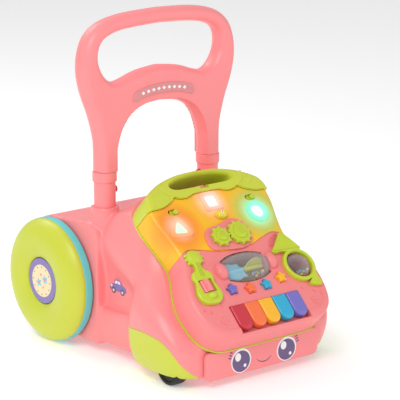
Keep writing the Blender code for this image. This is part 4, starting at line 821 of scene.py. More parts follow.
face = WALKER @ upright(FACE_Y)
for side_name, side in SIDES:
    x = side * 0.04
    printed(f"{side_name}_eye_white", [circle(0.0172, 64, (x, 0.03), 0.97)], 0.0, white, "walker", face)
    printed(f"{side_name}_eye_iris", [circle(0.0152, 64, (x, 0.0292), 0.97)], 0.0001, dark_purple, "walker",
            face)
    printed(f"{side_name}_eye_glints", [circle(0.005, 32, (x - 0.0055, 0.0358), 1.15),
                                        circle(0.0024, 24, (x + 0.0065, 0.0225))], 0.0002, white, "walker",
            face)
    lashes = [strip([(x + side * (0.0172 - 0.0014 * k), 0.0362 + 0.0036 * k),
                     (x + side * (0.0222 - 0.0014 * k), 0.038 + 0.0036 * k)], 0.0021) for k in range(3)]
    printed(f"{side_name}_lashes", lashes, 0.0001, dark_purple, "walker", face)
printed("smile", [strip([(-0.0125, 0.0262), (-0.007, 0.0222), (0.0, 0.0208), (0.007, 0.0222),
                         (0.0125, 0.0262)], 0.0016)], 0.0, dark_purple, "walker", face)

# %% [markdown]
# ## Panel shells
# The panel's face is pink below and yellow above, with a lime cap on top. All three follow
# one outline with one rolled edge, and meet at two wavy lines. The pink part has a raised
# border round a plateau where the keys and toys are.

# %% Panel shells
SHELL_DEPTH, PART_GAP = 0.037, 0.0003
PAST_TOP, PAST_FOOT = 0.3, -0.05      # beyond the panel's ends, for cutting tools
THROUGH = (-0.06, 0.03)                # the heights of a tool that cuts right through the shells
OPENING = (-0.0135, 0.012)             # the heights of a tool that opens only the face
WAVE = [(-0.125, 0.119), (-0.108, 0.121), (-0.094, 0.13), (-0.077, 0.1375), (-0.056, 0.134),
        (-0.028, 0.1265), (0.0, 0.1245), (0.028, 0.1265), (0.052, 0.134), (0.072, 0.138), (0.09, 0.131),
        (0.106, 0.122), (0.125, 0.119)]
SCALLOP = [(0.0, 0.2175), (0.021, 0.2175), (0.035, 0.2135), (0.048, 0.2145), (0.055, 0.2175),
           (0.064, 0.2115), (0.08, 0.2055), (0.096, 0.2045), (0.125, 0.206)]
wave = smooth(WAVE, 8)
scallop = smooth(SCALLOP, 8)
scallop = [(-x, t) for x, t in reversed(scallop[1:])] + scallop


def above(line):
    return list(line) + [(line[-1][0], PAST_TOP), (line[0][0], PAST_TOP)]


def below(line, gap):
    return [(line[0][0], PAST_FOOT), (line[-1][0], PAST_FOOT)] + [(x, t + gap) for x, t in reversed(line)]


def prism(outline, low, high):
    return stacked(outline, [(0.0, low), (0.0, high)])


def shell(outline, roll, depth):
    """A block with an elliptical rolled edge, hollow behind."""
    rings = [(roll + 0.001, -0.0032), (0.0052, -0.01), (0.004, -depth), (0.001, -depth), (0.001, -0.01)]
    rings += [(0.001 + (roll - 0.001) * (1 - math.cos(turn)) ** 1.15, -0.01 + 0.01 * math.sin(turn))
              for turn in (math.pi / 2 * k / 8 for k in range(1, 9))]
    return stacked(outline, rings)


face_line = panel_outline(6)
TRIANGLE_AT, SQUARE_AT, ROUND_AT = (-0.071, 0.173), (0.0, 0.202), (0.065, 0.173)
DRUM_AT, BALL_AT, ROLLER_AT = (0.0, 0.0965), (0.083, 0.08), (-0.08, 0.079)
DRUM_RADIUS, DRUM_HALF, DRUM_AXIS = 0.0235, 0.0355, -0.01
BALL_RADIUS, BALL_AXIS = 0.02, -0.008
ROLLER_RADIUS, ROLLER_HALF, ROLLER_AXIS = 0.0098, 0.009, -0.0012
STARS = {"purple": (-0.0415, 0.068), "orange": (-0.0126, 0.0637), "blue": (0.0152, 0.0637),
         "yellow": (0.0438, 0.0685)}
SWITCHES = {"light": -0.067, "sound": 0.067}
SWITCH_T = 0.197


def triangle(radius, corner):
    corners = [(TRIANGLE_AT[0] + radius * math.cos(math.radians(84) + math.tau * k / 3),
                TRIANGLE_AT[1] - 0.003 + radius * math.sin(math.radians(84) + math.tau * k / 3))
               for k in range(3)]
    return rounded(corners, corner, 8)


def star(outer, inner, at=(0.0, 0.0)):
    corners = [((outer if k % 2 == 0 else inner) * math.cos(math.pi / 2 + math.pi * k / 5),
                (outer if k % 2 == 0 else inner) * math.sin(math.pi / 2 + math.pi * k / 5))
               for k in range(10)]
    return moved_outline(smooth(corners, 6, closed=True), *at)


def oval(half_x, half_y, at=(0.0, 0.0), steps=12):
    return [(at[0] + sign * (half_x - half_y + half_y * math.cos(a)), at[1] + sign * half_y * math.sin(a))
            for sign in (1, -1) for a in (-math.pi / 2 + math.pi * k / steps for k in range(steps + 1))]


def drum_radius_at(x):
    """The drum is a spindle: widest in the middle, narrower at its ends."""
    return DRUM_RADIUS - (DRUM_RADIUS - 0.0165) * (abs(x) / DRUM_HALF) ** 2.2


def drum_window(clear):
    height = -DRUM_AXIS - WALL
    half = DRUM_HALF + clear
    side = [(x, math.sqrt(drum_radius_at(min(abs(x), DRUM_HALF)) ** 2 - height ** 2) + clear)
            for x in (-half + 2 * half * k / 24 for k in range(25))]
    return [(x, DRUM_AT[1] - t) for x, t in side] + [(x, DRUM_AT[1] + t) for x, t in reversed(side)]


LENSES = {"triangle": (triangle(0.0125, 0.0014), triangle(0.0255, 0.0062)),
          "square": (rounded(rectangle(0.0083, 0.0083, SQUARE_AT), 0.0011, 5),
                     rounded(rectangle(0.0148, 0.0148, SQUARE_AT), 0.0042, 8)),
          "round": (circle(0.0092, 48, ROUND_AT), circle(0.0172, 64, ROUND_AT))}
openings = [prism(drum_window(0.0008), *OPENING),
            prism(circle(BALL_RADIUS - 0.0002, 64, BALL_AT), *OPENING),
            prism(rectangle(ROLLER_RADIUS + 0.001, ROLLER_HALF + 0.0008, ROLLER_AT), *OPENING)]
openings += [prism(inset(lens, -0.0004), *OPENING) for lens, _ in LENSES.values()]
openings += [prism(inset(star(0.0085, 0.0053, at), -0.0006), *OPENING) for at in STARS.values()]
openings += [prism(oval(0.0085, 0.0047, (x, SWITCH_T)), *OPENING) for x in SWITCHES.values()]

# The pink part: its border stands proud of a plateau that sits just below.
pink_face = shell(face_line, 0.009, SHELL_DEPTH)
dish = stacked(inset(face_line, 0.0125), [(0.0016, -0.0013), (0.0006, -0.001), (0.0, -0.0002),
                                          (-0.001, 0.001)])
bed = prism(rectangle(0.063, 0.0235, (0.0, 0.0262)), -0.012, -0.0015)
boss = [(0.0, -0.0135), (0.008, -0.0125), (0.0118, -0.0085), (0.013, -0.0015), (0.0118, 0.0035),
        (0.0085, 0.0072), (0.0045, 0.0088), (0.0, 0.0094)]
bosses = [shifted(moved(turned(smooth(boss, 3), 40), Matrix.Diagonal((0.75, 1, 1, 1))), side * 0.043,
                  DRUM_AT[1], -0.0015) for side in (-1, 1)]
slot = prism(rectangle(0.0602, 0.0208, (0.0, 0.0248)), -0.0095, 0.01)
pins = [prism(rectangle(DRUM_HALF + 0.0055, 0.0024, DRUM_AT), -0.015, DRUM_AXIS + 0.0024),
        prism(rectangle(0.0019, ROLLER_HALF + 0.0045, ROLLER_AT), -0.006, ROLLER_AXIS + 0.0018)]
pink_face = combined(pink_face, prism(above(wave), *THROUGH), dish)
pink_face = combined(pink_face, bed, *bosses, operation="UNION")
pink_face = combined(pink_face, *[tool.copy() for tool in openings], slot, *pins)
finished("pink_fascia", pink_face, deep_pink, "panel", "panel_lower_fascia", PANEL, angle=32)

yellow_face = combined(shell(face_line, 0.0105, SHELL_DEPTH), prism(below(wave, PART_GAP), *THROUGH),
                       prism(above(scallop), *THROUGH), *[tool.copy() for tool in openings])
finished("yellow_fascia", yellow_face, yellow, "panel", "panel_upper_fascia", PANEL,
         angle=32)

# %% [markdown]
# ## Carry cap
# The lime cap rises over the top of the face and holds the grip slot. Its lower edge hangs
# in soft scallops, and two leaves are embossed on each side. A notch at the slot's lower edge
# holds the pink release button.

# %% Carry cap
RELEASE_AT = (0.0, 0.227)
GRIP_SLOT = [(0.0, 0.229), (0.036, 0.229), (0.048, 0.2305), (0.053, 0.234), (0.049, 0.2385), (0.03, 0.244),
             (0.0, 0.2462)]
cap_rings = [(0.0, -SHELL_DEPTH), (0.0, -0.005), (0.0003, -0.0022), (0.0012, 0.0002), (0.0026, 0.002),
             (0.0045, 0.0032), (0.0068, 0.0039), (0.0095, 0.0042)]
cap = stacked(face_line, cap_rings)
slot_line = mirrored(smooth(GRIP_SLOT, 6))
slot_hole = stacked(slot_line, [(0.0, -0.06), (0.0, -0.003), (-0.0003, -0.0008), (-0.001, 0.0012),
                                (-0.0019, 0.0028), (-0.003, 0.0046)])
cavity = [(0.0, 0.19), (0.098, 0.19), (0.0985, 0.215), (0.086, 0.2275), (0.06, 0.2255), (0.0, 0.2255)]
notch = prism(rectangle(0.0075, 0.0045, RELEASE_AT), -0.014, 0.01)
cap = combined(cap, prism(below(scallop, PART_GAP), *THROUGH), slot_hole,
               prism(mirrored(cavity), -0.06, 0.0005), notch)
finished("carry_cap", cap, lime, "panel", "panel_carry_cap", PANEL, angle=32)
release = pillow(rounded(rectangle(0.007, 0.0044), 0.0016, 6), -0.005, 0.005, 0.0014, 4)
finished("release_knob", shifted(release, *RELEASE_AT, -0.008), deep_pink, "release", "panel_release_button",
         PANEL)

# %% [markdown]
# ## Back of the panel
# Behind the face is a lime tub with the battery door. Four screws hold the tub.

# %% Back shell
TUB_DEPTH, TUB_INSET, TRIM = 0.055, 0.013, 0.003


def tub_line(distance):
    return [(x, min(t, 0.2225 + TUB_INSET - distance)) for x, t in inset(face_line, distance)]


def levels(*rings):
    """A loft whose rings are outlines, each at its own height."""
    return loft([[(x, t, z) for x, t in outline] for outline, z in rings])


back = levels((tub_line(TUB_INSET + 0.002), -TUB_DEPTH),
              (tub_line(TUB_INSET + 0.0006), -TUB_DEPTH + 0.0006),
              (tub_line(TUB_INSET), -TUB_DEPTH + 0.002), (tub_line(TUB_INSET), -SHELL_DEPTH - TRIM),
              (face_line, -SHELL_DEPTH - TRIM), (face_line, -SHELL_DEPTH - 0.0003),
              (tub_line(TUB_INSET + WALL), -SHELL_DEPTH - 0.0003),
              (tub_line(TUB_INSET + WALL), -TUB_DEPTH + WALL + 0.002),
              (tub_line(TUB_INSET + WALL + 0.002), -TUB_DEPTH + WALL))
door_line = rounded(rectangle(0.033, 0.027, (0.0, 0.172)), 0.003, 6)
TUB_SCREWS = [(x, t) for x in (-0.072, 0.072) for t in (0.045, 0.19)]
back_holes = [shifted(cylinder(0.0034, -0.056, -0.0533, 32), x, t) for x, t in TUB_SCREWS]
back = combined(back, stacked(slot_line, [(0.0, -0.06), (0.0, 0.02)]),
                prism(inset(door_line, -0.0003), -0.07, -0.051), *back_holes)
finished("tub_moulding", back, lime, "panel", "panel_back_shell", PANEL, angle=32)
door = pillow(door_line, 0.0, 0.0027, 0.0006, 2)
door_turn = Matrix.Translation((0.0, 0.0, -TUB_DEPTH + 0.0027)) @ Matrix.Diagonal((1, 1, -1, 1))
finished("battery_door", moved(door, door_turn), lime, "panel", "battery_cover", PANEL)

# %% [markdown]
# ## Lights
# Each lens sits at the bottom of a raised frame: a lime triangle, a pink square and a sky
# blue ring. The lit lens is pale and bright at its middle. The glow round it falls off over
# the face, which the face's own finish carries as an emission colour, by distance in metres.

# %% Frames and lenses
frame_finish = {"triangle": lime_toys, "square": pink, "round": sky}
for word, (lens_line, frame_line) in LENSES.items():
    ring = pillow(frame_line, 0.0003, 0.004, 0.0024, 6)
    well = stacked(lens_line, [(-0.0004, -0.01), (-0.0004, 0.0018), (-0.001, 0.003), (-0.0024, 0.0046)])
    finished(f"{word}_frame", combined(ring, well), frame_finish[word], "panel", f"{word}_bezel",
             PANEL, angle=35)

# %% [markdown]
# ## Switches, stars and keys
# Two small sliders sit in oval slots. The stars are puffy, with a raised mark on each. The
# keys are long tablets with a round front end and a rolled rim, and each tilts about the
# top edge of its slot.

# %% Switches
for word, x in SWITCHES.items():
    nub = pillow(oval(0.004, 0.0039), -0.0033, 0.0016, 0.0011, 4)
    bar = prism(oval(0.0082, 0.0081), -0.0058, -0.0033)
    finished(f"{word}_slider_knob", shifted(joined(nub, bar), x + 0.004, SWITCH_T), lime_toys,
             f"{word}_slider", f"{word}_switch", PANEL)

# %% Stars
PUFF = [(1.0, -0.006), (1.0, 0.0012), (0.985, 0.0022), (0.94, 0.0031), (0.86, 0.0037), (0.72, 0.004),
        (0.4, 0.0041)]
star_marks = {"purple": [circle(0.0021, 24)], "orange": [flower(0.0024, 4)], "blue": [star(0.0026, 0.0014)],
              "yellow": [oval(0.0025, 0.0012)]}
for word, at in STARS.items():
    puffy = loft([[(x * share, t * share, z) for x, t in star(0.0085, 0.0053)] for share, z in PUFF])
    mark = [prism(outline, 0.003, 0.0044) for outline in star_marks[word]]
    finished(f"{word}_star_cap", shifted(joined(puffy, *mark), *at), buttons[word], f"{word}_star",
             f"star_button_{word}", PANEL)

# %% Keys
KEY_WORDS = ("red", "orange", "yellow", "blue", "purple")
KEY_HALF, KEY_TIP, KEY_BACK, KEY_PITCH = 0.0114, 0.008, 0.0448, 0.024
for index, word in enumerate(KEY_WORDS):
    tip = [(KEY_HALF * math.cos(a), KEY_TIP + KEY_HALF + KEY_HALF * math.sin(a))
           for a in (math.pi + math.pi * k / 24 for k in range(25))]
    key = pillow(tip + [(KEY_HALF, KEY_BACK), (-KEY_HALF, KEY_BACK)], -0.007, 0.0018, 0.0026, 7, 0.0003,
                 0.003)
    finished(f"{word}_key_cap", shifted(key, KEY_PITCH * (index - 2)), buttons[word], f"{word}_key",
             f"key_{word}", PANEL, angle=35)

# %% [markdown]
# ## Gears and bird
# Two lime gears turn together on a pink plate that is cut like a snail's shell. A gear is a
# short stack of one outline, so its teeth share a soft top edge, and a little spiral is
# raised on each hub.

# %% Gears
PLATE = [(-0.041, 0.138), (-0.036, 0.129), (-0.02, 0.1265), (-0.004, 0.124), (0.015, 0.124), (0.031, 0.131),
         (0.036, 0.145), (0.033, 0.159), (0.022, 0.169), (0.008, 0.1695), (-0.006, 0.166), (-0.017, 0.164),
         (-0.03, 0.162), (-0.039, 0.153)]
GEARS = {"small": (9, 0.0156, 0.0129, (-0.018, 0.145), 0.0),
         "large": (11, 0.0186, 0.0159, (0.014, 0.145), math.pi - math.pi / 11)}
plate_pegs = [shifted(cylinder(0.0026, 0.0012, 0.006, 32), *gear[3])
              for gear in GEARS.values()]
finished("snail_plate", joined(pillow(smooth(PLATE, 6, closed=True), 0.0003, 0.0022, 0.001, 4),
                               *plate_pegs), deep_pink, "panel", "gear_plate", PANEL)


def gear_line(teeth, tip, root, turn):
    line = []
    for tooth in range(teeth):
        middle = turn + math.tau * tooth / teeth
        for share, radius in ((-0.3, root), (-0.2, root + 0.0003), (-0.115, tip - 0.0005), (-0.06, tip),
                              (0.06, tip), (0.115, tip - 0.0005), (0.2, root + 0.0003), (0.3, root)):
            angle = middle + share * math.tau / teeth
            line.append((radius * math.cos(angle), radius * math.sin(angle)))
    return line


def spiral(turns, reach, width, parts=6):
    """A band that winds outwards, as short overlapping pieces that can't cross themselves."""
    def point(share, wide):
        radius, angle = reach * (0.16 + 0.84 * share) + wide, math.tau * turns * share
        return radius * math.cos(angle), radius * math.sin(angle)
    spans = [[(first + k / 8) / parts for k in range(9)] for first in range(parts)]
    return [[point(share, width / 2) for share in span]
            + [point(share, -width / 2) for share in reversed(span)] for span in spans]


for word, (teeth, tip, root, at, turn) in GEARS.items():
    wheel = pillow(gear_line(teeth, tip, root, turn), 0.0027, 0.0075, 0.0008, 3)
    hub = turned([(0.0, 0.006), (root * 0.66, 0.006), (root * 0.655, 0.0084), (root * 0.62, 0.0096),
                  (root * 0.52, 0.0103), (root * 0.3, 0.0106), (0.0, 0.0107)], 64)
    winding = joined(*[prism(piece_line, 0.01, 0.0112) for piece_line in spiral(1.6, root * 0.46, 0.001)])
    wheel = combined(combined(wheel, hub, operation="UNION"), cylinder(0.0031, 0.0, 0.0066, 32))
    finished(f"{word}_gear_wheel", shifted(joined(wheel, winding), *at), lime_toys, f"{word}_gear",
             f"gear_{word}", PANEL, angle=35)

# %% Bird
bird = turned(smooth([(0.0, 0.0003), (0.0074, 0.0006), (0.0079, 0.0025), (0.007, 0.0055), (0.0042, 0.0077),
                      (0.0, 0.0085)], 4), 48)
beak = pillow([(-0.0122, 0.0002), (-0.006, -0.0028), (-0.006, 0.0032)], 0.0003, 0.0034, 0.0008, 3)
bird = joined(moved(bird, Matrix.Diagonal((1.13, 0.85, 1, 1))), beak)
finished("bird_head", shifted(bird, 0.0045, 0.1785),
         moulded("bird_plastic", (0.86, 0.66, 0.05), 0.3).material, "panel", "bird_figure",
         PANEL)
bird_eye = turned([(0.0, 0.0), (0.0022, 0.0), (0.002, 0.0006), (0.0, 0.0009)], 24)
finished("bird_eye_white", shifted(bird_eye, 0.003, 0.1795, 0.0079), white, "panel", matrix=PANEL)
bird_pupil = turned([(0.0, 0.0), (0.001, 0.0), (0.0008, 0.0004), (0.0, 0.0005)], 20)
finished("bird_eye_pupil", shifted(bird_pupil, 0.0027, 0.1796, 0.0086), black, "panel", matrix=PANEL)

# %% [markdown]
# ## Guitar
# The guitar is one lime moulding with six round pegs, four string grooves on its neck and a
# spoon-shaped dome. A ribbed pink roller turns in a window in its body. The pegs come from
# one Geometry Nodes tree, which sets a small dome on each point of two arcs. The beads, the
# dots on the yellow face and the screw heads use the same tree.

# %% Repeats
def domes(name, points, radius, height, material, body, place, sides=16):
    """A dome on each point, made by a Geometry Nodes tree with the dome's sizes as its inputs."""
    seeds = bmesh.new()
    for point in points:
        seeds.verts.new(point)
    item = as_object(seeds, name)
    seeds.free()
    tree = bpy.data.node_groups.new(name + "_domes", "GeometryNodeTree")
    for label, kind, way in (("Points", "NodeSocketGeometry", "INPUT"),
                             ("Radius", "NodeSocketFloat", "INPUT"), ("Height", "NodeSocketFloat", "INPUT"),
                             ("Shape", "NodeSocketGeometry", "OUTPUT")):
        tree.interface.new_socket(label, in_out=way, socket_type=kind)

    def node(kind, **settings):
        made_node = tree.nodes.new(kind)
        for key, value in settings.items():
            setattr(made_node, key, value)
        return made_node

    entry, leave = node("NodeGroupInput"), node("NodeGroupOutput")
    ball = node("GeometryNodeMeshUVSphere")
    ball.inputs["Segments"].default_value, ball.inputs["Rings"].default_value = sides, sides // 2
    tree.links.new(entry.outputs["Radius"], ball.inputs["Radius"])
    ratio = node("ShaderNodeMath", operation="DIVIDE")
    tree.links.new(entry.outputs["Height"], ratio.inputs[0])
    tree.links.new(entry.outputs["Radius"], ratio.inputs[1])
    size = node("ShaderNodeCombineXYZ")
    size.inputs["X"].default_value = size.inputs["Y"].default_value = 1.0
    tree.links.new(ratio.outputs[0], size.inputs["Z"])
    spread = node("GeometryNodeInstanceOnPoints")
    tree.links.new(entry.outputs["Points"], spread.inputs["Points"])
    tree.links.new(ball.outputs["Mesh"], spread.inputs["Instance"])
    tree.links.new(size.outputs[0], spread.inputs["Scale"])
    real, paint = node("GeometryNodeRealizeInstances"), node("GeometryNodeSetMaterial")
    paint.inputs["Material"].default_value = material
    tree.links.new(spread.outputs["Instances"], real.inputs[0])
    tree.links.new(real.outputs[0], paint.inputs["Geometry"])
    tree.links.new(paint.outputs[0], leave.inputs[0])
    modifier = item.modifiers.new("repeat", "NODES")
    modifier.node_group = tree
    names = {socket.name: socket.identifier
             for socket in tree.interface.items_tree if socket.in_out == "INPUT"}
    modifier[names["Radius"]], modifier[names["Height"]] = radius, height
    finished(name, worked_out(item), material, body, matrix=place)


# %% Guitar
GUITAR = [(0.0, 0.053), (0.0105, 0.0542), (0.0175, 0.061), (0.019, 0.07), (0.0165, 0.078), (0.0145, 0.085),
          (0.016, 0.093), (0.014, 0.1), (0.008, 0.1035), (0.0052, 0.108)]
LEAN = Matrix.Translation((ROLLER_AT[0], ROLLER_AT[1], 0.0)) @ Matrix.Rotation(math.radians(-5.5), 4, "Z") \
    @ Matrix.Translation((0.0, -ROLLER_AT[1], 0.0))
guitar_side = smooth(GUITAR, 6)
start = math.asin(0.0052 / 0.0115)
guitar_head = [(0.0115 * math.sin(start + (math.tau - 2 * start) * k / 40),
                0.1235 - 0.0115 * math.cos(start + (math.tau - 2 * start) * k / 40)) for k in range(41)]
guitar_line = guitar_side + guitar_head + [(-x, t) for x, t in reversed(guitar_side[1:])]
guitar = moved(pillow(guitar_line, -0.0011, 0.0055, 0.0024, 6), LEAN)
spoon = shifted(moved(turned([(0.0, -0.001), (0.007, -0.001), (0.007, 0.0008), (0.0064, 0.0036),
                              (0.0048, 0.0058), (0.0026, 0.0069), (0.0, 0.0072)], 48),
                      Matrix.Diagonal((1.1, 0.75, 1, 1))), ROLLER_AT[0], ROLLER_AT[1] - 0.015, 0.0035)
knob_at = [(ROLLER_AT[0] + 0.0043 + side * 0.0122 * math.cos(turn), 0.1233 + 0.0122 * math.sin(turn),
            0.0016) for side in (-1, 1) for turn in (-0.5, 0.0, 0.5)]
head_dome = shifted(moved(turned([(0.0, 0.003), (0.0098, 0.003), (0.0096, 0.0048), (0.0082, 0.0064),
                                  (0.005, 0.0074), (0.0, 0.0078)], 48), Matrix.Diagonal((1, 0.94, 1, 1))),
                    ROLLER_AT[0] + 0.0043, 0.1233)
grooves = [moved(prism(rectangle(0.00032, 0.0105, (x, 0.1045)), 0.0047, 0.008), LEAN)
           for x in (-0.0027, -0.0009, 0.0009, 0.0027)]
guitar = combined(guitar, spoon, head_dome, operation="UNION")
guitar = combined(guitar, prism(rectangle(ROLLER_RADIUS + 0.001, ROLLER_HALF + 0.0008, ROLLER_AT), -0.01,
                                0.02), prism(rectangle(0.0019, ROLLER_HALF + 0.0045, ROLLER_AT), -0.006,
                                             ROLLER_AXIS + 0.0018), *grooves)
finished("guitar_moulding", guitar, lime_toys, "panel", "guitar_body", PANEL, angle=35)
domes("guitar_pegs", knob_at, 0.0024, 0.0029, lime_toys, "panel", PANEL)

# %% Guitar roller
ribbed = []
for k in range(12 * 8):
    share = (k % 8) / 8
    radius = ROLLER_RADIUS - 0.0013 * max(0.0, math.cos(math.tau * share)) ** 2
    angle = math.tau * k / (12 * 8)
    ribbed.append((radius * math.cos(angle), radius * math.sin(angle)))
roller = stacked(ribbed, [(0.0006, -ROLLER_HALF), (0.0, -ROLLER_HALF + 0.0006), (0.0, ROLLER_HALF - 0.0006),
                          (0.0006, ROLLER_HALF)])
roller_pin = cylinder(0.0014, -0.0128, 0.0128, 24)
finished("roller_ribbed", moved(joined(roller, roller_pin), Matrix.Translation((*ROLLER_AT, ROLLER_AXIS))
                                @ ALONG_Y), deep_pink, "roller", "guitar_roller", PANEL)

# %% [markdown]
# ## Clear drum and ball
# The drum and the ball are thin clear shells, so both an outer and an inner wall are drawn.
# Clear toy plastic lets most light through and mirrors the lamp near its edges. Vanes turn
# inside the drum, and small coloured beads lie in a heap low in each shell.

# %% Clear plastic
clear = Finish("clear_shell_plastic", Base_Color=(0.74, 0.62, 0.66, 1.0), Roughness=0.06, IOR=1.45)
smudges = clear.noise(60.0, 3.0)
facing = clear.node("LayerWeight", output="Facing", Blend=0.45)
clear.set(Roughness=smudges * 0.1 + 0.02, Alpha=facing * 0.34 + 0.07)
BEADS = {"red": (0.75, 0.03, 0.05), "orange": (1.0, 0.3, 0.04), "yellow": (1.0, 0.62, 0.05),
         "blue": (0.05, 0.35, 0.75), "green": (0.12, 0.55, 0.12), "white": (0.92, 0.92, 0.9)}
bead_finish = {word: moulded(word + "_bead_plastic", colour, 0.22, 0.00001).material for word,
               colour in BEADS.items()}

# %% Drum
drum_place = PANEL @ Matrix.Translation((*DRUM_AT, DRUM_AXIS))
stations = [-DRUM_HALF + 2 * DRUM_HALF * k / 24 for k in range(25)]
outside = [(drum_radius_at(x), x) for x in stations]
outside = [(0.0023, -DRUM_HALF), (outside[0][0] - 0.0012, -DRUM_HALF)] + [(r, x) for r, x in outside[1:-1]] \
    + [(outside[-1][0] - 0.0012, DRUM_HALF), (0.0023, DRUM_HALF)]
inside = [(r - 0.0014 if r > 0.003 else r, x * (DRUM_HALF - 0.0014) / DRUM_HALF) for r,
          x in reversed(outside)]
finished("drum_clear", moved(turned(outside + inside, 96, closed=True), ALONG_X), clear.material, "drum",
         "drum_shell", drum_place, angle=60)
shaft = cylinder(0.0019, -0.0403, 0.0403, 24)
finished("drum_rod", moved(shaft, ALONG_X), deep_pink, "panel", "drum_shaft", drum_place)


def vane(name, outline, material, node, turn):
    """A thin wing through the shaft, with a sleeve that clears it."""
    low, high = min(x for x, _ in outline), max(x for x, _ in outline)
    wing = moved(pillow(outline, -0.0008, 0.0008, 0.0004, 2), Matrix.Rotation(turn, 4, "X"))
    sleeve = moved(cylinder(0.004, low - 0.0004, high, 32), ALONG_X)
    bore = moved(cylinder(0.0023, low - 0.01, high + 0.01, 32), ALONG_X)
    finished(name, combined(combined(wing, sleeve, operation="UNION"), bore), material, "drum", node,
             matrix=drum_place)


wave_edge = [(x, 0.015 + 0.0018 * math.sin(x * 260))
             for x in (-0.0318 + 0.0308 * k / 16 for k in range(17))]
vane("blue_wave_vane", [(x, -t) for x, t in wave_edge] + wave_edge[::-1], sky, "drum_vanes_blue",
     math.radians(-20))
leaf = smooth([(0.0012, 0.0022), (0.009, 0.0135), (0.02, 0.0165), (0.029, 0.0115), (0.0318, 0.004)], 5)
vane("green_leaf_vane", [(x, -t) for x, t in leaf] + leaf[::-1], lime_toys, "drum_vane_green",
     math.radians(65))

# %% Beads in the drum and ball
HEAP = [(0.0000, 0.0000, 0.0000), (0.0047, 0.0008, 0.0006), (-0.0046, 0.0006, 0.0006),
        (0.0023, 0.0042, 0.0008), (-0.0024, 0.0043, 0.0008), (0.0024, -0.0040, 0.0008),
        (-0.0025, -0.0039, 0.0008), (0.0001, 0.0015, 0.0044), (0.0069, 0.0048, 0.0026),
        (-0.0069, 0.0046, 0.0026), (0.0050, -0.0034, 0.0050), (-0.0046, 0.0012, 0.0050)]
BEAD_RADIUS, BEAD_DEPTH = 0.0023, 0.005
SHOWN = Vector((0.2, 0.0, 1.0))       # turns the heap towards the window
down = (PANEL.to_3x3().inverted() @ Vector((0, 0, -1)) + SHOWN).normalized()
along = down.cross(Vector((1, 0, 0))).normalized()


def heap(name, place, depth, body):
    """Beads heaped against the inside of a round shell, low in its window."""
    for number, word in enumerate(BEADS):
        points = [down * (depth - lift) + Vector((x, 0, 0)) + along * across
                  for x, across, lift in HEAP[number::len(BEADS)]]
        domes(f"{name}_{word}", points, BEAD_RADIUS, BEAD_RADIUS, bead_finish[word], body, place, sides=14)


heap("drum_beads", drum_place @ Matrix.Translation((0.01, 0.0, 0.0)), DRUM_RADIUS - BEAD_DEPTH, "drum")

# %% [markdown]
# ## Horn
# The horn is one lime moulding: a ring round the clear ball, a bell that opens to the upper
# left, and a mouthpiece below. The ring and the bell are made one, and the narrow mouthpiece is
# stacked beside them.

# %% Horn
BELL = [(0.049, 0.1065), (0.053, 0.104), (0.066, 0.1045), (0.076, 0.101), (0.094, 0.099), (0.0985, 0.104),
        (0.0925, 0.115), (0.085, 0.127), (0.08, 0.133), (0.0765, 0.132), (0.062, 0.118)]
TAIL = [(0.086, 0.0572), (0.0905, 0.056), (0.083, 0.05), (0.086, 0.047), (0.1, 0.043), (0.1035, 0.046),
        (0.102, 0.058), (0.1042, 0.07), (0.1, 0.064)]
ring = combined(pillow(circle(0.0252, 96, BALL_AT), -0.0012, 0.005, 0.002, 6),
                pillow(rounded(BELL, 0.0009, 4), -0.0011, 0.0057, 0.0016, 5), operation="UNION")
well_hole = stacked(circle(0.0197, 96, BALL_AT),
                    [(0.0, -0.01), (0.0, 0.0034), (-0.0006, 0.0044), (-0.0018, 0.0056)])
mouthpiece = stacked(TAIL, [(0.0, -0.001), (0.0, 0.0036), (0.0003, 0.0043), (0.0008, 0.0047)])
horn = joined(combined(ring, well_hole), mouthpiece)
finished("horn_moulding", horn, lime_toys, "panel", "horn_body", PANEL, angle=35)
ball_place = PANEL @ Matrix.Translation((*BALL_AT, BALL_AXIS))


def shell_arc(radius, hole):
    lift = math.asin(hole / radius)
    return [(radius * math.cos(a), radius * math.sin(a))
            for a in (-math.pi / 2 + lift + (math.pi - 2 * lift) * k / 32 for k in range(33))]


BALL_PLAY, BALL_WALL, PIN_HOLE = 0.0004, 0.0013, 0.0022
ball_outside = shell_arc(BALL_RADIUS - BALL_PLAY, PIN_HOLE)
ball_inside = shell_arc(BALL_RADIUS - BALL_PLAY - BALL_WALL, PIN_HOLE)
ball = turned(ball_outside + ball_inside[::-1], 64, closed=True)
finished("ball_clear", moved(ball, ALONG_X), clear.material, "ball", "horn_ball",
         ball_place, angle=60)
heap("ball_beads", ball_place, BALL_RADIUS - BEAD_DEPTH, "ball")

# %% [markdown]
# ## Glow of the lights
# The three lights are on. A lamp behind coloured plastic leaves a white middle and a halo
# that falls off with distance, so each halo is a mask worked out from the distance to its
# lens in metres. It tints the base colour, and a smaller mask adds emission.

# %% Glow
def away(finish, place):
    node = finish.tree.nodes.new("ShaderNodeVectorMath")
    node.operation = "DISTANCE"
    feed(node.inputs[0], finish.place)
    node.inputs[1].default_value = place
    return Number(node.outputs["Value"])


# Where each light is, then the reach and colour of its halo and of its bright middle.
GLOWS = [(TRIANGLE_AT, 0.042, (1.0, 0.1, 0.03, 1.0), 0.026, (0.95, 0.8, 0.72, 1.0)),
         (SQUARE_AT, 0.036, (1.0, 0.42, 0.16, 1.0), 0.029, (0.95, 0.68, 0.62, 1.0)),
         (ROUND_AT, 0.044, (0.1, 0.72, 0.2, 1.0), 0.031, (0.5, 0.95, 0.98, 1.0))]


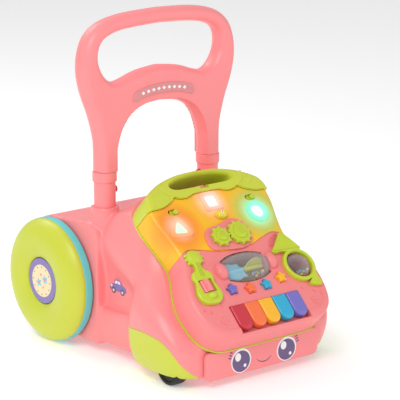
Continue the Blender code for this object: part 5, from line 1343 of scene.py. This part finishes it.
def glowing(finish):
    """Adds the three halos to a finish."""
    colour, light = finish.colour, (0.0, 0.0, 0.0, 1.0)
    for at, reach, halo, core_reach, core in GLOWS:
        gap = away(finish, PANEL @ Vector((*at, 0.0)))
        wide = (1 - gap / reach).at_least(0.0) ** 0.8
        near = (1 - gap / core_reach).at_least(0.0) ** 1.3
        colour = finish.mix(wide, colour, halo)
        light = finish.mix(near, light, core)
    finish.set(Base_Color=colour, Emission_Color=light, Emission_Strength=0.9)
    return finish.material


lit_yellow = glowing(moulded("lit_yellow_plastic", YELLOW, 0.36))
bpy.data.objects["yellow_fascia"].data.materials[0] = lit_yellow
for word, colour in (("triangle", (0.56, 0.66, 0.035)), ("square", PINK), ("round", SKY)):
    lit_frame = glowing(moulded(f"lit_{word}_frame_plastic", colour, 0.3))
    bpy.data.objects[f"{word}_frame"].data.materials[0] = lit_frame
LENS_LIGHT = {"triangle": (0.66, 0.95, 0.74), "square": (1.0, 0.86, 0.95), "round": (0.82, 0.97, 1.0)}
for word, colour in LENS_LIGHT.items():
    glass = moulded(f"{word}_lens_plastic", shade(colour, 0.6), 0.12, Emission_Color=(*colour, 1.0),
                    Emission_Strength=0.62)
    finished(f"{word}_lens_lit", pillow(LENSES[word][0], -0.0045, 0.0016, 0.0008, 4), glass.material,
             "panel", f"{word}_lens", PANEL)

# %% [markdown]
# ## Raised marks
# Toy moulds carry small raised pictures. Here they are plain ones: ripples of sound beside
# the horn, dots and darts round the keys, a flower in each corner and a leaf on the cap.

# %% Raised marks
def arc_band(radius, low, high, width, at):
    turns = [math.radians(low + (high - low) * k / 20) for k in range(21)]
    line = [(radius + width / 2, turn) for turn in turns]
    line += [(radius - width / 2, turn) for turn in reversed(turns)]
    return [(at[0] + r * math.cos(turn), at[1] + r * math.sin(turn)) for r, turn in line]


ripples = joined(*[prism(arc_band(0.0175 + 0.0024 * k, 98, 158, 0.0009, (0.08, 0.108)), -0.002, 0.0003)
                   for k in range(5)])
finished("sound_ripples", ripples, deep_pink, "panel", matrix=PANEL)
corner_marks = []
for x, t, turn in ((-0.0985, 0.048, 0.3), (-0.09, 0.043, 1.3), (-0.07, 0.0485, 2.2), (0.096, 0.033, 0.6),
                   (0.087, 0.039, 1.9), (0.07, 0.047, 2.6)):
    dart = moved_outline([(-0.0016, -0.0012), (0.002, 0.0), (-0.0016, 0.0012)], x, t, turn)
    corner_marks.append(prism(dart, -0.002, -0.0002))
for x, t in ((-0.077, 0.027), (0.08, 0.0255)):
    corner_marks.append(pillow(flower(0.0068, 5, (x, t)), -0.002, -0.0002, 0.0007, 3))
    corner_marks.append(prism(circle(0.0019, 24, (x, t)), -0.0006, 0.0006))
finished("corner_marks", joined(*corner_marks), deep_pink, "panel", matrix=PANEL)
leaf_side = smooth([(0.0, -0.013), (0.0045, -0.006), (0.0052, 0.002), (0.0028, 0.009), (0.0, 0.013)], 5)
leaf_line = leaf_side + [(-x, t) for x, t in reversed(leaf_side[1:-1])]
leaves = joined(*[pillow(moved_outline(leaf_line, side * x, t, side * turn), 0.003, 0.0049, 0.0007, 3)
                  for side in (-1, 1) for x, t, turn in ((0.074, 0.221, -1.25), (0.064, 0.229, -0.7))])
finished("cap_leaves", leaves, lime, "panel", matrix=PANEL)
dots = [(-0.041, 0.19), (-0.04, 0.172), (-0.087, 0.156), (-0.07, 0.149), (-0.056, 0.154), (0.036, 0.189),
        (0.04, 0.176), (0.056, 0.15), (0.076, 0.152), (-0.028, 0.2), (0.088, 0.199), (-0.092, 0.192)]
domes("face_dots", [(x, t, 0.0) for x, t in dots], 0.0012, 0.0007, lit_yellow, "panel", PANEL)

# %% [markdown]
# ## Side stickers
# A small toy car is stuck in the hollow of each flank. A sticker follows the surface, so
# its flat outline is cut into small squares, and each corner is dropped onto the body.

# %% Side stickers
STICKER_AT, STICKER_GRID = (0.017, 0.1), 0.0025
body_mesh = bpy.data.objects["body_moulding"].data
body_skin = BVHTree.FromPolygons([vert.co for vert in body_mesh.vertices],
                                 [face.vertices for face in body_mesh.polygons])


def stuck(name, outlines, lift, material, side):
    """Flat outlines in (y, z) dropped onto one flank and lifted off it a little."""
    sheet = bmesh.new()
    for outline in outlines:
        sheet.faces.new([sheet.verts.new((side * 0.2, y, z)) for y, z in outline])
    for axis in (1, 2):
        low, high = min(v.co[axis] for v in sheet.verts), max(v.co[axis] for v in sheet.verts)
        for k in range(1, int((high - low) / STICKER_GRID) + 1):
            point, normal = Vector((0, 0, 0)), Vector((0, 0, 0))
            point[axis], normal[axis] = low + STICKER_GRID * k, 1.0
            whole = list(sheet.verts) + list(sheet.edges) + list(sheet.faces)
            bmesh.ops.bisect_plane(sheet, geom=whole, plane_co=point, plane_no=normal)
    bmesh.ops.triangulate(sheet, faces=sheet.faces)
    for vert in sheet.verts:
        hit, normal, _, _ = body_skin.ray_cast(WALKER @ vert.co, Vector((-side, 0, 0)))
        vert.co = hit + Vector((side, 0, 0)) * lift
    for face in sheet.faces:
        if face.normal.x * side < 0:
            face.normal_flip()
    finished(name, sheet, material, "walker", weighted=False)




def on_flank(points):
    return [(STICKER_AT[0] + y, STICKER_AT[1] + z) for y, z in points]


car_side = smooth([(-0.0175, -0.0035), (-0.0165, -0.007), (0.0, -0.0078), (0.0165, -0.007),
                   (0.0175, -0.003), (0.015, 0.001), (0.009, 0.0022), (0.006, 0.0085), (-0.001, 0.01),
                   (-0.007, 0.0075), (-0.011, 0.002), (-0.016, 0.0005)], 4, closed=True)
for side_name, side in SIDES:
    stuck(f"{side_name}_car_body", [on_flank(car_side)], 0.0002, purple, side)
    roof = smooth([(-0.0075, 0.007), (-0.001, 0.0098), (0.0062, 0.0082), (0.005, 0.012), (-0.002, 0.0135),
                   (-0.0085, 0.0115)], 4, closed=True)
    stuck(f"{side_name}_car_roof", [on_flank(roof)], 0.0003, coral, side)
    panes = [[(-0.0065, 0.003), (0.0, 0.003), (0.0, 0.0075), (-0.0045, 0.0068)],
             [(0.0012, 0.003), (0.0065, 0.003), (0.0045, 0.0068), (0.0012, 0.0075)]]
    stuck(f"{side_name}_car_glass", [on_flank(pane) for pane in panes], 0.0004, white, side)
    stuck(f"{side_name}_car_lamp", [on_flank(circle(0.0021, 20, (0.014, -0.0015)))], 0.0004, cream, side)
    for part, radius, sides, lift, ink in (("wheels", 0.0044, 28, 0.0005, dark_purple),
                                           ("hubs", 0.002, 20, 0.0006, cream)):
        rounds = [on_flank(circle(radius, sides, (y, -0.0075))) for y in (-0.0095, 0.0095)]
        stuck(f"{side_name}_car_{part}", rounds, lift, ink, side)

# %% [markdown]
# ## Screws
# Small steel screws hold the tub and the back of the handle. Each tub screw sits in a shallow
# round hole, and every head is a low dome.

# %% Screws
steel = Finish("screw_steel", Metallic=1.0, Base_Color=(0.6, 0.6, 0.62, 1.0))
brushed = steel.noise(900.0, 2.0)
steel.set(Roughness=brushed * 0.2 + 0.2)
steel.bump(brushed, 0.00002)
domes("tub_screws", [(x, t, -0.0538) for x, t in TUB_SCREWS], 0.0028, 0.0009, steel.material, "panel",
      PANEL, sides=24)
rear_face = WALKER @ upright(POST_Y + HANDLE_HALF, 1)
handle_holes = [(x, z, -0.0004) for x, z in ((-0.09, 0.29), (0.09, 0.29), (-0.088, 0.356), (0.088, 0.356),
                                             (0.0, 0.366), (-0.118, 0.396), (0.118, 0.396), (0.0, 0.459))]
domes("handle_screws", handle_holes, 0.0026, 0.001, steel.material, "handle", rear_face, sides=24)

# %% [markdown]
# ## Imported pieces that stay
# The base plate, axles, board, speaker and battery case already have their right shape.
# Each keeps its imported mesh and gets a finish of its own.

# %% Kept pieces
board = moulded("board_laminate", (0.02, 0.17, 0.06), 0.4, 0.00004, 0.15).material
dark_case = moulded("dark_case_plastic", (0.014, 0.014, 0.015), 0.5, 0.0001, 0.25).material
for node_name, kept_finish in {"base_plate": pink, "rear_axle": steel.material,
                               "front_axle": steel.material, "circuit_board": board, "speaker": dark_case,
                               "battery_pack": dark_case}.items():
    kept = frame["nodes"][node_name]
    for material_slot in kept.material_slots:
        material_slot.link = "OBJECT"
        material_slot.material = kept_finish

# %% [markdown]
# ## Floor and light
# A pale floor and a bright, even room keep the plastic's own colours. One large lamp from
# the upper left gives the shells their long soft highlights, and two weaker ones lift the
# other side and the rear. The Standard view keeps the pinks from going grey.

# %% Floor and light
floor_finish = Finish("studio_floor", Roughness=0.6, Base_Color=(0.9, 0.9, 0.9, 1.0),
                      Emission_Color=(1.0, 1.0, 1.0, 1.0), Emission_Strength=0.28)
floor = as_object(stacked(rectangle(6.0, 6.0), [(0.0, -0.012), (0.0, -0.0002)]), "floor")
floor.data.materials.append(floor_finish.material)


def lamp(name, power, size, at):
    """A square white lamp that points at the middle of the walker."""
    item = bpy.data.objects.new(name, bpy.data.lights.new(name, "AREA"))
    item.data.energy, item.data.size = power, size
    item.location = at
    item.rotation_euler = (Vector((0.0, 0.0, 0.2)) - Vector(at)).to_track_quat("-Z", "Y").to_euler()
    bpy.context.scene.collection.objects.link(item)


lamp("key", 25.0, 1.1, (-1.5, -1.0, 1.9))
lamp("fill", 6.0, 1.6, (1.4, -1.8, 1.1))
lamp("rim", 16.0, 1.2, (-0.3, 1.6, 1.9))
world = bpy.data.worlds.new("studio")
bpy.context.scene.world = world
bpy.context.scene.view_settings.view_transform = "Standard"
world.use_nodes = True
world.node_tree.nodes["Background"].inputs["Color"].default_value = (1.0, 1.0, 1.0, 1.0)
world.node_tree.nodes["Background"].inputs["Strength"].default_value = 0.55

# %% Sizes and finish
for name, faces in made:
    print(f"{name}: {faces} faces")
